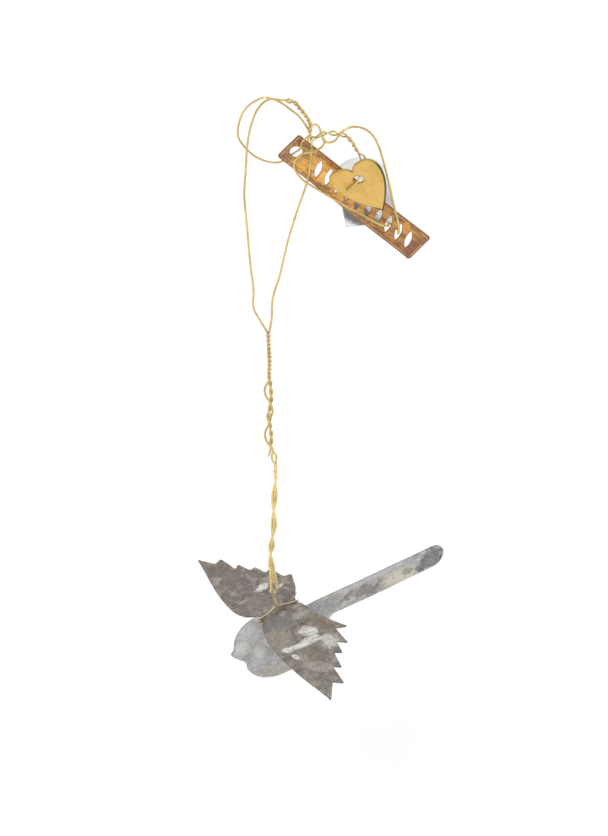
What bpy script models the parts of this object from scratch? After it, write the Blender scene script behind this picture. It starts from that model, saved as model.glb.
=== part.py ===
"""Hanging bird ornament: two zinc sheets tied with wire, on a brass wire hanger with three small tags.

The origin is the underside of the hanging loop's crown, where a hook bears. +Z is up and the tags hang on
the +X side, facing -Y. The bird's own frame has x towards the beak, y towards its left wing and z up.
"""

import math

import bmesh
import bpy
from mathutils import Matrix, Vector

MM = 0.001

# Stock
SHEET = 0.8 * MM
TAG_SHEET = 0.7 * MM
WIRE = 0.68 * MM
HEART_WIRE = 0.56 * MM
TIE_WIRE = 0.5 * MM
FIT_GAP = 0.3 * MM
STRAND_GAP = 0.44 * MM
TURN_POINTS = 8

# Hanging loop, a teardrop in the plane y = 0: x and z of each bend
LOOP_LEFT = ((-4.1, -92.9), (-5.8, -88.4), (-6.4, -84.0), (-6.5, -76.2), (-7.9, -53.5), (-9.0, -34.8),
             (-8.2, -20.0), (-6.9, -11.0), (-4.6, -3.6), (-2.3, -0.5))
LOOP_RIGHT = ((2.4, -0.9), (5.6, -3.9), (8.2, -6.7), (10.4, -10.5), (11.9, -14.5), (12.3, -19.0),
              (11.9, -27.0), (11.0, -34.0), (8.0, -46.0), (5.1, -58.5), (1.7, -76.2), (0.2, -88.0),
              (-0.3, -93.0))
LOOP_STEP = 2.6 * MM

# Stem under the loop: x and z of its middle, drifting as it was bent by hand
STEM_AXIS = ((-1.4, -99.0), (-1.0, -113.0), (-1.1, -119.0), (-0.6, -124.0), (-0.5, -129.0), (-1.0, -133.0),
             (-1.5, -136.5), (-0.9, -140.3), (-0.5, -145.0), (-0.6, -149.0), (-0.2, -153.0), (0.8, -163.0),
             (0.3, -174.0), (0.1, -187.0), (-0.8, -199.0), (-0.4, -207.0))
STEM_STEP = 1.5 * MM

# Twisted stem: a two-strand shank, an open wrap around it, then three strands side by side in a twisted band
SHANK_TOP = -99.0 * MM
SHANK_FOOT = -154.0 * MM
SHORT_STRAND_FOOT = -151.0 * MM
SHORT_STRAND_END = ((-1.0, -0.45, -1.4), (-1.6, -0.8, -2.7))
ROPE_TOP = -157.0 * MM
ROPE_FOOT = -206.0 * MM
SHANK_TURNS = 7.8
ROPE_TWIST = ((-157.0, 48.0), (-166.1, 90.0), (-178.8, 270.0), (-190.8, 450.0), (-198.3, 630.0),
              (-206.0, 753.6))
WRAP_TOP = -122.0 * MM
WRAP_PITCH = 19.5 * MM
WRAP_BLEND = 7.0 * MM
WRAP_BULGE = 0.7 * MM
DROP_END = -160.0 * MM
THIRD_STRAND_FOOT = -205.0 * MM
THIRD_STRAND_END = 4.0 * MM

# Bird's link and heading
LINK = Vector((0.06, -0.29, -215.7)) * MM
HEADING_DEG = 33.6
DROP_EYE_RADIUS = 1.4 * MM
DROP_EYE_NECK = 3.2 * MM
DROP_EYE_WAIST = 0.9
DROP_EYE_STEP = 1.0 * MM
TIE_EYE_RADIUS = 1.0 * MM
TIE_EYE_NECK = 1.3 * MM
TIE_EYE_START_DEG = -62.0
TIE_EYE_SWEEP_DEG = 304.0

# Bird: the wing root's middle from the link, in the bird's frame
ROOT = Vector((-2.63, 0.0, -9.9)) * MM
HEAD_CENTRE = (9.8, -6.2)
HEAD_RADIUS = 8.3
BEAK_TIP = (19.4, -9.8)
BEAK_TOP = (18.0, -7.6)
CHIN = (14.7, -15.0)
BEAK_HANDLE = (17.4, -12.9)
THROAT_HANDLE = (13.3, -16.6)
RUMP_HANDLE = -19.4
BELLY_CENTRE = (-2.1, -12.9)
BELLY_RADIUS = 16.7
BELLY_FRONT_DEG = -26.0
BELLY_REAR_DEG = -173.0
TAIL_START = -22.0
TAIL_LOW = -12.6
TAIL_HIGH = -3.4
TAIL_END = -64.3
SEAT_FRONT = 8.6
SEAT_REAR = -7.6
SEAT_FOOT = -9.6
TIE_HOLE = (0.0, -4.2)
TIE_HOLE_RADIUS = 1.2

# Wing sheet: outline of one wing as (forward, sideways), and its height across the span
WING_FRONT = ((10.0, 2.6), (11.2, 6.7), (11.5, 11.8), (10.8, 17.9), (9.3, 25.8))
WING_TIP = (6.6, 38.8)
WING_TEETH = (((2.8, 33.7), (-0.5, 35.2)), ((-1.5, 28.2), (-3.2, 29.3)), ((-4.2, 23.1), (-6.9, 24.8)),
              ((-8.3, 20.2), (-10.5, 21.6)), ((-11.7, 15.4), (-15.3, 15.3)))
WING_REAR = ((-12.8, 9.4), (-10.4, 4.6))
WING_ROOT_FRONT = 7.6
WING_ROOT_REAR = -6.6
WING_NICK = 1.3
WING_SECTION = ((0.0, 0.0), (2.2, 0.9), (5.0, -0.5), (10.0, -2.4), (16.0, -3.2), (25.0, -3.7), (33.0, -4.4),
                (38.8, -5.3))
WING_LINES = 16
WING_LINE_BIAS = 1.6
WING_EDGE_STEP = 2.0 * MM
WING_YAW_DEG = 1.5

# Tie wire from the link's neck, around the wing root and through the body
TIE_KNOT = (1.36, 0.0, 3.3)
TIE_NECK_TURNS = 1.5
TIE_NECK_STEPS = 14
TIE_STEP = 0.8 * MM
TIE_CLEAR = 0.425 * MM
TIE_SIDE = (SHEET / 2 + TIE_WIRE / 2 + TIE_CLEAR) / MM
TIE_FRONT = ((4.6, 0.0, 1.75), (7.0, 0.0, 1.3), (8.1, 0.0, 0.7), (8.1, 0.6, -0.1), (7.8, TIE_SIDE, -1.0),
             (4.2, TIE_SIDE, -2.8))
TIE_CROSS = ((0.7, TIE_SIDE, -4.1), (0.0, 0.0, -4.2), (-0.7, -TIE_SIDE, -4.3))
TIE_REAR = ((-4.4, -TIE_SIDE, -3.0), (-7.0, -TIE_SIDE, -1.2), (-7.35, -0.7, 0.1), (-7.1, -0.15, 0.95),
            (-5.9, 0.0, 1.3), (-3.0, 0.0, 1.95))

# Slotted tag: leans back and slopes down to the right
TAG_CENTRE = Vector((25.6, -0.3, -40.6)) * MM
TAG_LEAN_DEG = 13.2
TAG_SLOPE_DEG = 41.8
TAG_LENGTH = 55.5 * MM
TAG_WIDTH = 10.2 * MM
TAG_CORNER = 1.0 * MM
TAG_HOLE_AT = -24.3 * MM
TAG_HOLE_RADIUS = 1.75 * MM
LEAF_FIRST = 22.8 * MM
LEAF_STEP = 4.2 * MM
LEAF_COUNT = 10
LEAF_LENGTH = 6.4 * MM
LEAF_WIDTH = 1.9 * MM
LEAF_SLANT_DEG = 24.0

# Brass heart and silver tag: hole positions, tilts and outlines
HEART_HOLE = Vector((26.9, -4.0, -29.5)) * MM
HEART_TILT_DEG = 30.7
HEART_HOLE_DROP = 3.7
HEART_HOLE_RADIUS = 1.6
HEART_HALF = 8.6
HEART_LOBE = 2.7
HEART_TIP = -19.2
HEART_CREST_AT = 0.55
HEART_NOTCH_OPEN = 0.12
HEART_FLANK_FULL = 0.92
HEART_FLANK_AT = 0.52
SILVER_HOLE = Vector((28.9, 5.0, -32.7)) * MM
SILVER_TILT_DEG = 9.0
SILVER_WIDTH = 16.2
SILVER_HEIGHT = 28.4
SILVER_HOLE_DROP = 4.2
SILVER_MIDDLE = -1.55
SILVER_HOLE_RADIUS = 1.6

# Tag wires: bends as x, y, z
PIGTAIL = ((11.9, -1.3, -11.9), (11.6, -1.3, -8.3), (10.2, -1.3, -5.0), (8.7, -1.3, -2.6), (6.9, -1.3, 0.1),
           (4.4, -1.3, 1.0))
PIGTAIL_TURNS = 4.5
PIGTAIL_STEP = 0.42 * MM
RING = ((0.0, -1.3, 1.7), (-2.8, -1.1, 2.1), (-6.9, -0.7, -0.6), (-9.2, -0.2, -4.0), (-10.4, 0.2, -8.1),
        (-11.0, 0.7, -13.3), (-10.8, 1.1, -17.2), (-9.6, 1.3, -20.1), (-7.8, 1.3, -22.5), (-5.0, 1.8, -25.6),
        (-0.4, 2.9, -28.8), (2.9, 3.9, -29.4), (5.6, 4.5, -27.4), (7.4, 3.4, -24.9), (8.9, 2.0, -22.0),
        (9.4, 0.8, -18.4), (10.9, -0.7, -14.9), (11.8, -1.3, -13.3))
RING_STEP = 1.8 * MM
TAG_LOOP_START = ((11.96, -2.75, -10.1), (12.5, -2.45, -8.4), (13.5, -1.8, -8.6), (14.3, -1.6, -9.4),
                  (15.0, -1.8, -11.2), (15.4, -2.2, -12.9), (16.3, -2.1, -15.0), (15.5, -1.8, -18.0),
                  (13.4, -1.5, -20.0), (9.2, -0.6, -22.2), (6.9, 0.0, -26.4), (7.1, -0.4, -28.7),
                  (9.3, -1.3, -32.1), (14.9, -1.9, -36.5), (21.2, -2.7, -40.8), (27.5, -3.7, -44.5),
                  (34.2, -4.7, -48.4))
TAG_LOOP_END = ((39.6, -4.6, -48.8), (38.0, -3.9, -40.8), (36.4, -2.8, -32.1), (34.6, -2.2, -23.3),
                (33.0, -2.0, -17.1), (30.8, -1.9, -12.4), (27.8, -1.9, -9.9), (24.7, -2.1, -9.4),
                (21.6, -2.7, -11.0), (19.9, -2.4, -14.4), (18.5, -2.0, -15.9), (17.05, -1.6, -16.3),
                (16.1, -1.0, -16.0), (15.6, -0.8, -15.4))
TAG_LOOP_LEAVES = (2, 1)
TAG_LOOP_FRONT_CLEAR = 0.5 * MM
TAG_LOOP_BACK_CLEAR = 0.35 * MM
TAG_LOOP_FRONT = TAG_SHEET / 2 + WIRE / 2 + TAG_LOOP_FRONT_CLEAR
TAG_LOOP_BACK = TAG_SHEET / 2 + WIRE / 2 + TAG_LOOP_BACK_CLEAR
TAG_LOOP_STEP = 1.5 * MM
HEART_PAIR = ((13.6, -0.2, -15.7), (16.5, -0.5, -13.4), (19.6, -0.9, -13.2), (22.7, -1.2, -13.9),
              (24.7, -1.3, -16.3), (26.0, -1.4, -19.1), (26.8, -1.5, -20.6))
HEART_PAIR_TURNS = 2.0
HEART_STEP = 0.85 * MM
HEART_HOOK = Vector((12.15, 0.0, -16.4)) * MM
HEART_HOOK_STEPS = 4

# Ends of the heart's wire: bends measured from the hole that each end goes through
HEART_FACE_END = ((-3.8, 0.0, -4.4), (-2.0, 0.0, -2.4), (-0.5, 0.0, -0.6))
HEART_LEG = ((1.0, 1.3, 2.2), (2.0, 2.3, 7.1))
SILVER_LEG = ((-1.3, -4.4, 7.4), (-0.3, -1.3, 1.3))
SILVER_FACE_END = ((-0.2, 0.0, -0.7), (-0.6, 0.0, -2.6))

ZINC_PALE = ((0.42, 0.43, 0.45), 0.55, 0.85)
ZINC_BROWN = ((0.28, 0.25, 0.23), 0.6, 0.85)
BRASS_WIRE = ((0.72, 0.55, 0.26), 0.35, 1.0)
BRASS_TAG = ((0.45, 0.24, 0.11), 0.4, 1.0)
BRASS_HEART = ((0.74, 0.52, 0.2), 0.45, 1.0)
SILVER = ((0.8, 0.81, 0.83), 0.25, 1.0)


def material(name, finish):
    """A Principled material of one colour, roughness and metallic value."""
    colour, rough, metal = finish
    mat = bpy.data.materials.new(name)
    mat.use_nodes = True
    shader = mat.node_tree.nodes["Principled BSDF"]
    shader.inputs["Base Color"].default_value = (*colour, 1.0)
    shader.inputs["Roughness"].default_value = rough
    shader.inputs["Metallic"].default_value = metal
    return mat


def add(name, data, finish, parent=None):
    """Put a named object with its own material into the scene, under an empty if one is given."""
    data.materials.append(material(name, finish))
    obj = bpy.data.objects.new(name, data)
    bpy.context.collection.objects.link(obj)
    obj.parent = parent
    return obj


def empty(name, location, rotation):
    """An empty that carries a moving piece, on that piece's joint axis."""
    obj = bpy.data.objects.new(name, None)
    bpy.context.collection.objects.link(obj)
    obj.matrix_world = Matrix.Translation(location) @ rotation.to_4x4()
    return obj


def vectors(points):
    """Points given in millimetres, as vectors in metres."""
    return [Vector(p) * MM for p in points]


def flat(points, y=0.0):
    """Points of a vertical plane given as (x, z) in millimetres, as vectors in metres."""
    return [Vector((x, y, z)) * MM for x, z in points]


def smooth(points, step):
    """A curve through the points (centripetal Catmull-Rom), in pieces of about the given step."""
    ends = [points[0] * 2 - points[1], *points, points[-1] * 2 - points[-2]]
    out = [points[0].copy()]
    for a, b, c, d in zip(ends, ends[1:], ends[2:], ends[3:]):
        t1 = max((b - a).length, 1e-9) ** 0.5
        t2 = t1 + max((c - b).length, 1e-9) ** 0.5
        t3 = t2 + max((d - c).length, 1e-9) ** 0.5
        count = max(1, round((c - b).length / step))
        for i in range(1, count + 1):
            t = t1 + (t2 - t1) * i / count
            p = a.lerp(b, t / t1)
            q = b.lerp(c, (t - t1) / (t2 - t1))
            r = c.lerp(d, (t - t2) / (t3 - t2))
            out.append(p.lerp(q, t / t2).lerp(q.lerp(r, (t - t1) / (t3 - t1)), (t - t1) / (t2 - t1)))
    return out


def least_gap(points, thickness):
    """The least clear gap between parts of one wire that are apart along it."""
    along = [0.0]
    for a, b in zip(points, points[1:]):
        along.append(along[-1] + (b - a).length)
    least = math.inf
    for i, p in enumerate(points):
        for j in range(i + 1, len(points)):
            if along[j] - along[i] > 4.0 * thickness:
                least = min(least, (p - points[j]).length)
    return least - thickness


def wire(name, points, thickness, finish, parent=None):
    """One unbroken round wire along the points."""
    gap = least_gap(points, thickness) / MM
    length = sum((b - a).length for a, b in zip(points, points[1:])) / MM
    print(f"{name}: {len(points)} points, {length:.0f} mm long, least gap to itself {gap:.2f} mm")
    curve = bpy.data.curves.new(name, "CURVE")
    curve.dimensions = "3D"
    curve.bevel_depth = thickness / 2
    curve.bevel_resolution = 1
    curve.use_fill_caps = True
    spline = curve.splines.new("POLY")
    spline.points.add(len(points) - 1)
    for slot, p in zip(spline.points, points):
        slot.co = (*p, 1.0)
    return add(name, curve, finish, parent)


def twisted_pair(axis, radius, turns, start):
    """Two strands wound about a curve, the first one starting on the side named by start."""
    side = start
    strands = ([], [])
    for i, p in enumerate(axis):
        tangent = (axis[min(i + 1, len(axis) - 1)] - axis[max(i - 1, 0)]).normalized()
        side = (side - tangent * side.dot(tangent)).normalized()
        angle = 2 * math.pi * turns * i / (len(axis) - 1)
        offset = (side * math.cos(angle) + tangent.cross(side) * math.sin(angle)) * radius
        strands[0].append(p + offset)
        strands[1].append(p - offset)
    return strands


def stem_axis(z):
    """The stem's middle at a height."""
    line = STEM_LINE
    for a, b in zip(line, line[1:]):
        if b.z <= z:
            return a.lerp(b, (a.z - z) / (a.z - b.z))
    return line[-1]


STEM_LINE = smooth(flat(STEM_AXIS), STEM_STEP)
PAIR_RADIUS = (WIRE + STRAND_GAP) / 2
ROPE_RADIUS = WIRE + STRAND_GAP
WRAP_RADIUS = PAIR_RADIUS + WIRE + FIT_GAP
FORWARD = Vector((-math.cos(math.radians(HEADING_DEG)), -math.sin(math.radians(HEADING_DEG)), 0))
UP = Vector((0, 0, 1))


def shank_angle(z):
    """Angle of the long strand about the shank."""
    return 2 * math.pi * SHANK_TURNS * (SHANK_TOP - z) / (SHANK_TOP - ROPE_TOP)


def rope_angle(z):
    """Angle of the band of three strands, which twists faster towards its foot."""
    for (high, a), (low, b) in zip(ROPE_TWIST, ROPE_TWIST[1:]):
        if low * MM <= z:
            break
    return math.radians(a + (b - a) * (high * MM - z) / ((high - low) * MM))


def middle_radius(z):
    """The long strand draws in from the shank to the middle of the band."""
    return PAIR_RADIUS * ease(1 - (ROPE_TOP - z) / WRAP_BLEND)


def strand(top, foot, step, radius, angle):
    """Points of one strand down the stem."""
    count = round((top - foot) / step)
    points = []
    for i in range(count + 1):
        z = top + (foot - top) * i / count
        r, a = radius(z), angle(z)
        points.append(stem_axis(z) + Vector((math.cos(a), math.sin(a), 0)) * r)
    return points


def ease(t):
    """A smooth step from 0 to 1 while t goes from 0 to 1."""
    t = min(max(t, 0.0), 1.0)
    return t * t * (3 - 2 * t)


def wrap_radius(z):
    """The open wrap bulges on one side of the shank and draws in to the band below it."""
    bulge = WRAP_BULGE * max(-math.cos(drop_angle(z)), 0.0) ** 2
    t = ease((SHANK_FOOT - z) / WRAP_BLEND)
    return (WRAP_RADIUS + bulge) * (1 - t) + ROPE_RADIUS * t


def drop_angle(z):
    """The drop wire's first strand: an open wrap, then one edge of the band."""
    return rope_angle(min(z, ROPE_TOP)) - 2 * math.pi * max(z - ROPE_TOP, 0.0) / WRAP_PITCH


def hanger():
    """The loop wire, the drop wire with the bird's link, and the three tag wires."""
    shank_step = (SHANK_TOP - ROPE_TOP) / SHANK_TURNS / TURN_POINTS
    rope_turns = (ROPE_TWIST[-1][1] - ROPE_TWIST[0][1]) / 360
    rope_step = (ROPE_TOP - ROPE_FOOT) / rope_turns / (2 * TURN_POINTS)
    wrap_step = WRAP_PITCH / (2 * TURN_POINTS)
    short = strand(SHANK_TOP, SHORT_STRAND_FOOT, shank_step, lambda z: PAIR_RADIUS,
                   lambda z: shank_angle(z) + math.pi)
    foot = stem_axis(SHORT_STRAND_FOOT)
    short += smooth([short[-1], *[foot + p for p in vectors(SHORT_STRAND_END)]], STEM_STEP)[1:]
    long = strand(SHANK_TOP, ROPE_TOP, shank_step, lambda z: PAIR_RADIUS, shank_angle)
    long += strand(ROPE_TOP, THIRD_STRAND_FOOT, rope_step, middle_radius, lambda z: shank_angle(ROPE_TOP))[1:]
    long += smooth([long[-1], LINK + UP * THIRD_STRAND_END], DROP_EYE_STEP)[1:]
    crown = Vector((0, 0, WIRE / 2))
    bends = [short[0], *flat(LOOP_LEFT), crown, *flat(LOOP_RIGHT), long[0]]
    wire("loop_wire", short[::-1] + smooth(bends, LOOP_STEP)[1:-1] + long, WIRE, BRASS_WIRE)

    down = strand(WRAP_TOP, ROPE_TOP - WRAP_BLEND, wrap_step, wrap_radius, drop_angle)
    down += strand(ROPE_TOP - WRAP_BLEND, ROPE_FOOT, rope_step, lambda z: ROPE_RADIUS, drop_angle)[1:]
    up = strand(DROP_END, ROPE_FOOT, rope_step, lambda z: ROPE_RADIUS,
                lambda z: rope_angle(z) + math.pi)[::-1]
    centre = LINK + UP * DROP_EYE_RADIUS
    waist = FORWARD * DROP_EYE_WAIST * DROP_EYE_RADIUS
    eye = [centre - waist + UP * DROP_EYE_NECK]
    for i in range(TURN_POINTS + 1):
        a = math.pi * i / TURN_POINTS
        eye.append(centre - (FORWARD * math.cos(a) + UP * math.sin(a)) * DROP_EYE_RADIUS)
    eye.append(centre + waist + UP * DROP_EYE_NECK)
    wire("drop_wire", down[:-1] + smooth([down[-1], *eye, up[0]], DROP_EYE_STEP) + up[1:], WIRE, BRASS_WIRE)


def ring_wires():
    """The tag's ring with its twisted pigtail, the long wire through the slots and the heart's wire."""
    axis = smooth(vectors(PIGTAIL), PIGTAIL_STEP)
    first, second = twisted_pair(axis, PAIR_RADIUS, PIGTAIL_TURNS, Vector((0, -1, 0)))
    around = smooth([second[-1], *vectors(RING), first[0]], RING_STEP)
    wire("tag_ring_wire", second + around[1:-1] + first, WIRE, BRASS_WIRE)

    through = []
    for leaf, side in zip(TAG_LOOP_LEAVES, (1, -1)):
        at = TAG_CENTRE + TAG_LONG * (LEAF_FIRST - LEAF_STEP * leaf)
        stands = (TAG_LOOP_FRONT, 0, -TAG_LOOP_BACK)[::side]
        through += [at + TAG_FACE * stand for stand in stands]
    bends = [*vectors(TAG_LOOP_START), *through, *vectors(TAG_LOOP_END)]
    wire("tag_loop_wire", smooth(bends, TAG_LOOP_STEP), WIRE, BRASS_WIRE)

    radius = (HEART_WIRE + STRAND_GAP) / 2
    axis = smooth(vectors(HEART_PAIR), HEART_STEP)
    front, back = twisted_pair(axis, radius, HEART_PAIR_TURNS, Vector((0, -1, 0)))
    clear = (WIRE + HEART_WIRE) / 2 + FIT_GAP
    hook = []
    for i in range(HEART_HOOK_STEPS + 1):
        a = math.pi * i / HEART_HOOK_STEPS
        hook.append(HEART_HOOK - Vector((math.sin(a), math.cos(a), 0)) * clear)
    lie = Vector((0, TAG_SHEET / 2 + FIT_GAP + HEART_WIRE / 2, 0))
    to_heart = [HEART_HOLE - lie + p for p in vectors(HEART_FACE_END)]
    to_heart += [HEART_HOLE, *[HEART_HOLE + p for p in vectors(HEART_LEG)]]
    to_silver = [*[SILVER_HOLE + p for p in vectors(SILVER_LEG)], SILVER_HOLE]
    to_silver += [SILVER_HOLE + lie + p for p in vectors(SILVER_FACE_END)]
    points = smooth([*to_heart, front[-1]], HEART_STEP)[:-1] + front[::-1]
    points += smooth([front[0], *hook, back[0]], HEART_WIRE)[1:-1] + back
    points += smooth([back[-1], *to_silver], HEART_STEP)[1:]
    wire("heart_wire", points, HEART_WIRE, BRASS_WIRE)


def arc(centre, radius, start_deg, end_deg, count):
    """Points of a circular arc as pairs."""
    out = []
    for i in range(count + 1):
        a = math.radians(start_deg + (end_deg - start_deg) * i / count)
        out.append((centre[0] + radius * math.cos(a), centre[1] + radius * math.sin(a)))
    return out


def bend(start, handle, end, count):
    """Points of a curve from start to end, drawn towards one handle, without its two ends."""
    out = []
    for i in range(1, count):
        t = i / count
        k = ((1 - t) ** 2, 2 * t * (1 - t), t * t)
        out.append(tuple(k[0] * a + k[1] * b + k[2] * c for a, b, c in zip(start, handle, end)))
    return out


def plate(name, outline, thickness, finish, parent):
    """A flat sheet in its frame's x-z plane, centred on y = 0, from an outline in millimetres."""
    mesh = bpy.data.meshes.new(name)
    bm = bmesh.new()
    ring = [bm.verts.new(Vector((x * MM, -thickness / 2, z * MM))) for x, z in outline]
    face = bm.faces.new(ring)
    grown = bmesh.ops.extrude_face_region(bm, geom=[face])["geom"]
    far = [v for v in grown if isinstance(v, bmesh.types.BMVert)]
    bmesh.ops.translate(bm, verts=far, vec=(0, thickness, 0))
    bmesh.ops.recalc_face_normals(bm, faces=bm.faces)
    bm.to_mesh(mesh)
    bm.free()
    return add(name, mesh, finish, parent)


def cut(obj, name, outlines, parent):
    """Cut openings, given as outlines in millimetres, through a sheet."""
    mesh = bpy.data.meshes.new(name)
    bm = bmesh.new()
    reach = 4 * SHEET
    for outline in outlines:
        face = bm.faces.new([bm.verts.new(Vector((x * MM, -reach, z * MM))) for x, z in outline])
        grown = bmesh.ops.extrude_face_region(bm, geom=[face])["geom"]
        far = [v for v in grown if isinstance(v, bmesh.types.BMVert)]
        bmesh.ops.translate(bm, verts=far, vec=(0, 2 * reach, 0))
    bmesh.ops.recalc_face_normals(bm, faces=bm.faces)
    bm.to_mesh(mesh)
    bm.free()
    cutter = bpy.data.objects.new(name, mesh)
    bpy.context.collection.objects.link(cutter)
    cutter.parent = parent
    cutter.hide_render = True
    cutter.display_type = "WIRE"
    modifier = obj.modifiers.new(name, "BOOLEAN")
    modifier.operation = "DIFFERENCE"
    modifier.solver = "EXACT"
    modifier.object = cutter


def round_outline(centre, radius, count):
    """A circle as an outline without a doubled last point."""
    return arc(centre, radius, 0, 360, count)[:-1]


def body_plate(frame):
    """The upright sheet: head, belly and long tail, with a seat for the wing sheet."""
    seat_floor = -(SHEET / 2 + FIT_GAP) / MM
    half_tail = (TAIL_HIGH - TAIL_LOW) / 2
    seat_deg = 180 - math.degrees(math.acos((HEAD_CENTRE[0] - SEAT_FRONT) / HEAD_RADIUS))
    head = arc(HEAD_CENTRE, HEAD_RADIUS, seat_deg, -5, 12)
    belly = arc(BELLY_CENTRE, BELLY_RADIUS, BELLY_FRONT_DEG, BELLY_REAR_DEG, 20)
    tail_foot = (TAIL_START, TAIL_LOW)
    end = arc((TAIL_END + half_tail, TAIL_LOW + half_tail), half_tail, -90, -270, 12)
    outline = [(SEAT_FRONT, seat_floor), *head, BEAK_TOP, BEAK_TIP]
    outline += [*bend(BEAK_TIP, BEAK_HANDLE, CHIN, 4), CHIN, *bend(CHIN, THROAT_HANDLE, belly[0], 4), *belly]
    outline += [*bend(belly[-1], (RUMP_HANDLE, TAIL_LOW), tail_foot, 4), tail_foot, *end]
    outline += [(SEAT_FOOT, TAIL_HIGH), (SEAT_REAR, seat_floor)]
    local = [(x + ROOT.x / MM, z + ROOT.z / MM) for x, z in outline]
    obj = plate("body_plate", local, SHEET, ZINC_PALE, frame)
    at = (TIE_HOLE[0] + ROOT.x / MM, TIE_HOLE[1] + ROOT.z / MM)
    cut(obj, "tie_hole_cutter", [round_outline(at, TIE_HOLE_RADIUS, 16)], frame)


def wing_height(y):
    """Height of the wing sheet's middle across the span: a pressed valley, a crest, then a droop."""
    y = min(abs(y), WING_SECTION_LINE[-1].x)
    for a, b in zip(WING_SECTION_LINE, WING_SECTION_LINE[1:]):
        if b.x >= y:
            return a.lerp(b, (y - a.x) / max(b.x - a.x, 1e-9)).y
    return WING_SECTION_LINE[-1].y


WING_SECTION_LINE = smooth([Vector((y, z, 0)) * MM for y, z in WING_SECTION], 0.5 * MM)


def wing_plate(frame):
    """Both wings as one bent sheet, toothed along the rear edge."""
    lead = ((WING_ROOT_FRONT, WING_NICK), *WING_FRONT, WING_TIP)
    front = smooth([Vector((*p, 0)) * MM for p in lead], WING_EDGE_STEP)
    line = [Vector((WING_ROOT_FRONT, 0, 0)) * MM, *front]
    for notch, tooth in WING_TEETH:
        line += [Vector((*notch, 0)) * MM, Vector((*tooth, 0)) * MM]
    line += [Vector((*p, 0)) * MM for p in WING_REAR]
    line += [Vector((WING_ROOT_REAR, WING_NICK, 0)) * MM, Vector((WING_ROOT_REAR, 0, 0)) * MM]
    bm = bmesh.new()
    face = bm.faces.new([bm.verts.new(p) for p in line])
    bmesh.ops.triangulate(bm, faces=[face])
    for i in range(1, WING_LINES):
        y = WING_TIP[1] * MM * (i / WING_LINES) ** WING_LINE_BIAS
        whole = [*bm.verts, *bm.edges, *bm.faces]
        bmesh.ops.bisect_plane(bm, geom=whole, plane_co=(0, y, 0), plane_no=(0, 1, 0))
    for v in bm.verts:
        v.co.z = wing_height(v.co.y)
    bmesh.ops.recalc_face_normals(bm, faces=bm.faces)
    mesh = bpy.data.meshes.new("wing_plate")
    bm.to_mesh(mesh)
    bm.free()
    obj = add("wing_plate", mesh, ZINC_BROWN, frame)
    obj.location = ROOT
    obj.rotation_euler.z = math.radians(WING_YAW_DEG)
    mirror = obj.modifiers.new("other_wing", "MIRROR")
    mirror.use_axis = (False, True, False)
    mirror.use_clip = True
    mirror.merge_threshold = 0.00005
    solid = obj.modifiers.new("sheet", "SOLIDIFY")
    solid.thickness = SHEET
    solid.offset = 0.0


def wing_tie(frame):
    """Thin wire: an eye on the link, a twisted neck, two legs and a run through the body's hole."""
    radius = (TIE_WIRE + STRAND_GAP) / 2
    knot = Vector(TIE_KNOT) * MM + ROOT
    top = Vector((0, 0, -(TIE_EYE_RADIUS + TIE_EYE_NECK)))
    axis = [top.lerp(knot, i / TIE_NECK_STEPS) for i in range(TIE_NECK_STEPS + 1)]
    first, second = twisted_pair(axis, radius, TIE_NECK_TURNS, Vector((0, 1, 0)))
    eye = []
    for i in range(2 * TURN_POINTS - 1):
        a = math.radians(TIE_EYE_START_DEG + TIE_EYE_SWEEP_DEG * i / (2 * TURN_POINTS - 2))
        eye.append(Vector((0, -math.cos(a), math.sin(a))) * TIE_EYE_RADIUS)
    legs = [Vector(p) * MM + ROOT for p in (*TIE_FRONT, *TIE_CROSS, *TIE_REAR)]
    points = smooth([*eye, first[0]], TIE_WIRE)[:-1] + first
    points += smooth([first[-1], *legs, second[-1]], TIE_STEP)[1:-1] + second[::-1]
    wire("wing_tie_wire", points, TIE_WIRE, BRASS_WIRE, frame)


def leaf_outline(at):
    """A slanted leaf-shaped opening, from two arcs, as an outline across the tag."""
    half, wide = LEAF_LENGTH / 2 / MM, LEAF_WIDTH / 2 / MM
    radius = (half * half + wide * wide) / (2 * wide)
    reach = math.degrees(math.asin(half / radius))
    right = arc((wide - radius, 0), radius, -reach, reach, 6)
    left = arc((radius - wide, 0), radius, 180 - reach, 180 + reach, 6)
    turn = Matrix.Rotation(math.radians(LEAF_SLANT_DEG), 2)
    return [tuple(turn @ Vector(p) + Vector((at / MM, 0))) for p in right + left[1:-1]]


TAG_FRAME = (Matrix.Rotation(math.radians(-TAG_LEAN_DEG), 3, "X")
             @ Matrix.Rotation(math.radians(TAG_SLOPE_DEG), 3, "Y"))
TAG_LONG = TAG_FRAME @ Vector((1, 0, 0))
TAG_FACE = TAG_FRAME @ Vector((0, -1, 0))


def slotted_tag():
    """The long tag: a ring hole, then a row of leaf-shaped openings."""
    frame = empty("tag_axis", TAG_CENTRE, TAG_FRAME)
    x, z, r = TAG_LENGTH / 2 / MM, TAG_WIDTH / 2 / MM, TAG_CORNER / MM
    outline = arc((x - r, z - r), r, 90, 0, 4) + arc((x - r, r - z), r, 0, -90, 4)
    outline += arc((r - x, r - z), r, -90, -180, 4) + arc((r - x, z - r), r, 180, 90, 4)
    obj = plate("slotted_tag", outline, TAG_SHEET, BRASS_TAG, frame)
    openings = [round_outline((TAG_HOLE_AT / MM, 0), TAG_HOLE_RADIUS / MM, 20)]
    openings += [leaf_outline(LEAF_FIRST - LEAF_STEP * i) for i in range(LEAF_COUNT)]
    cut(obj, "tag_opening_cutter", openings, frame)


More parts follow.
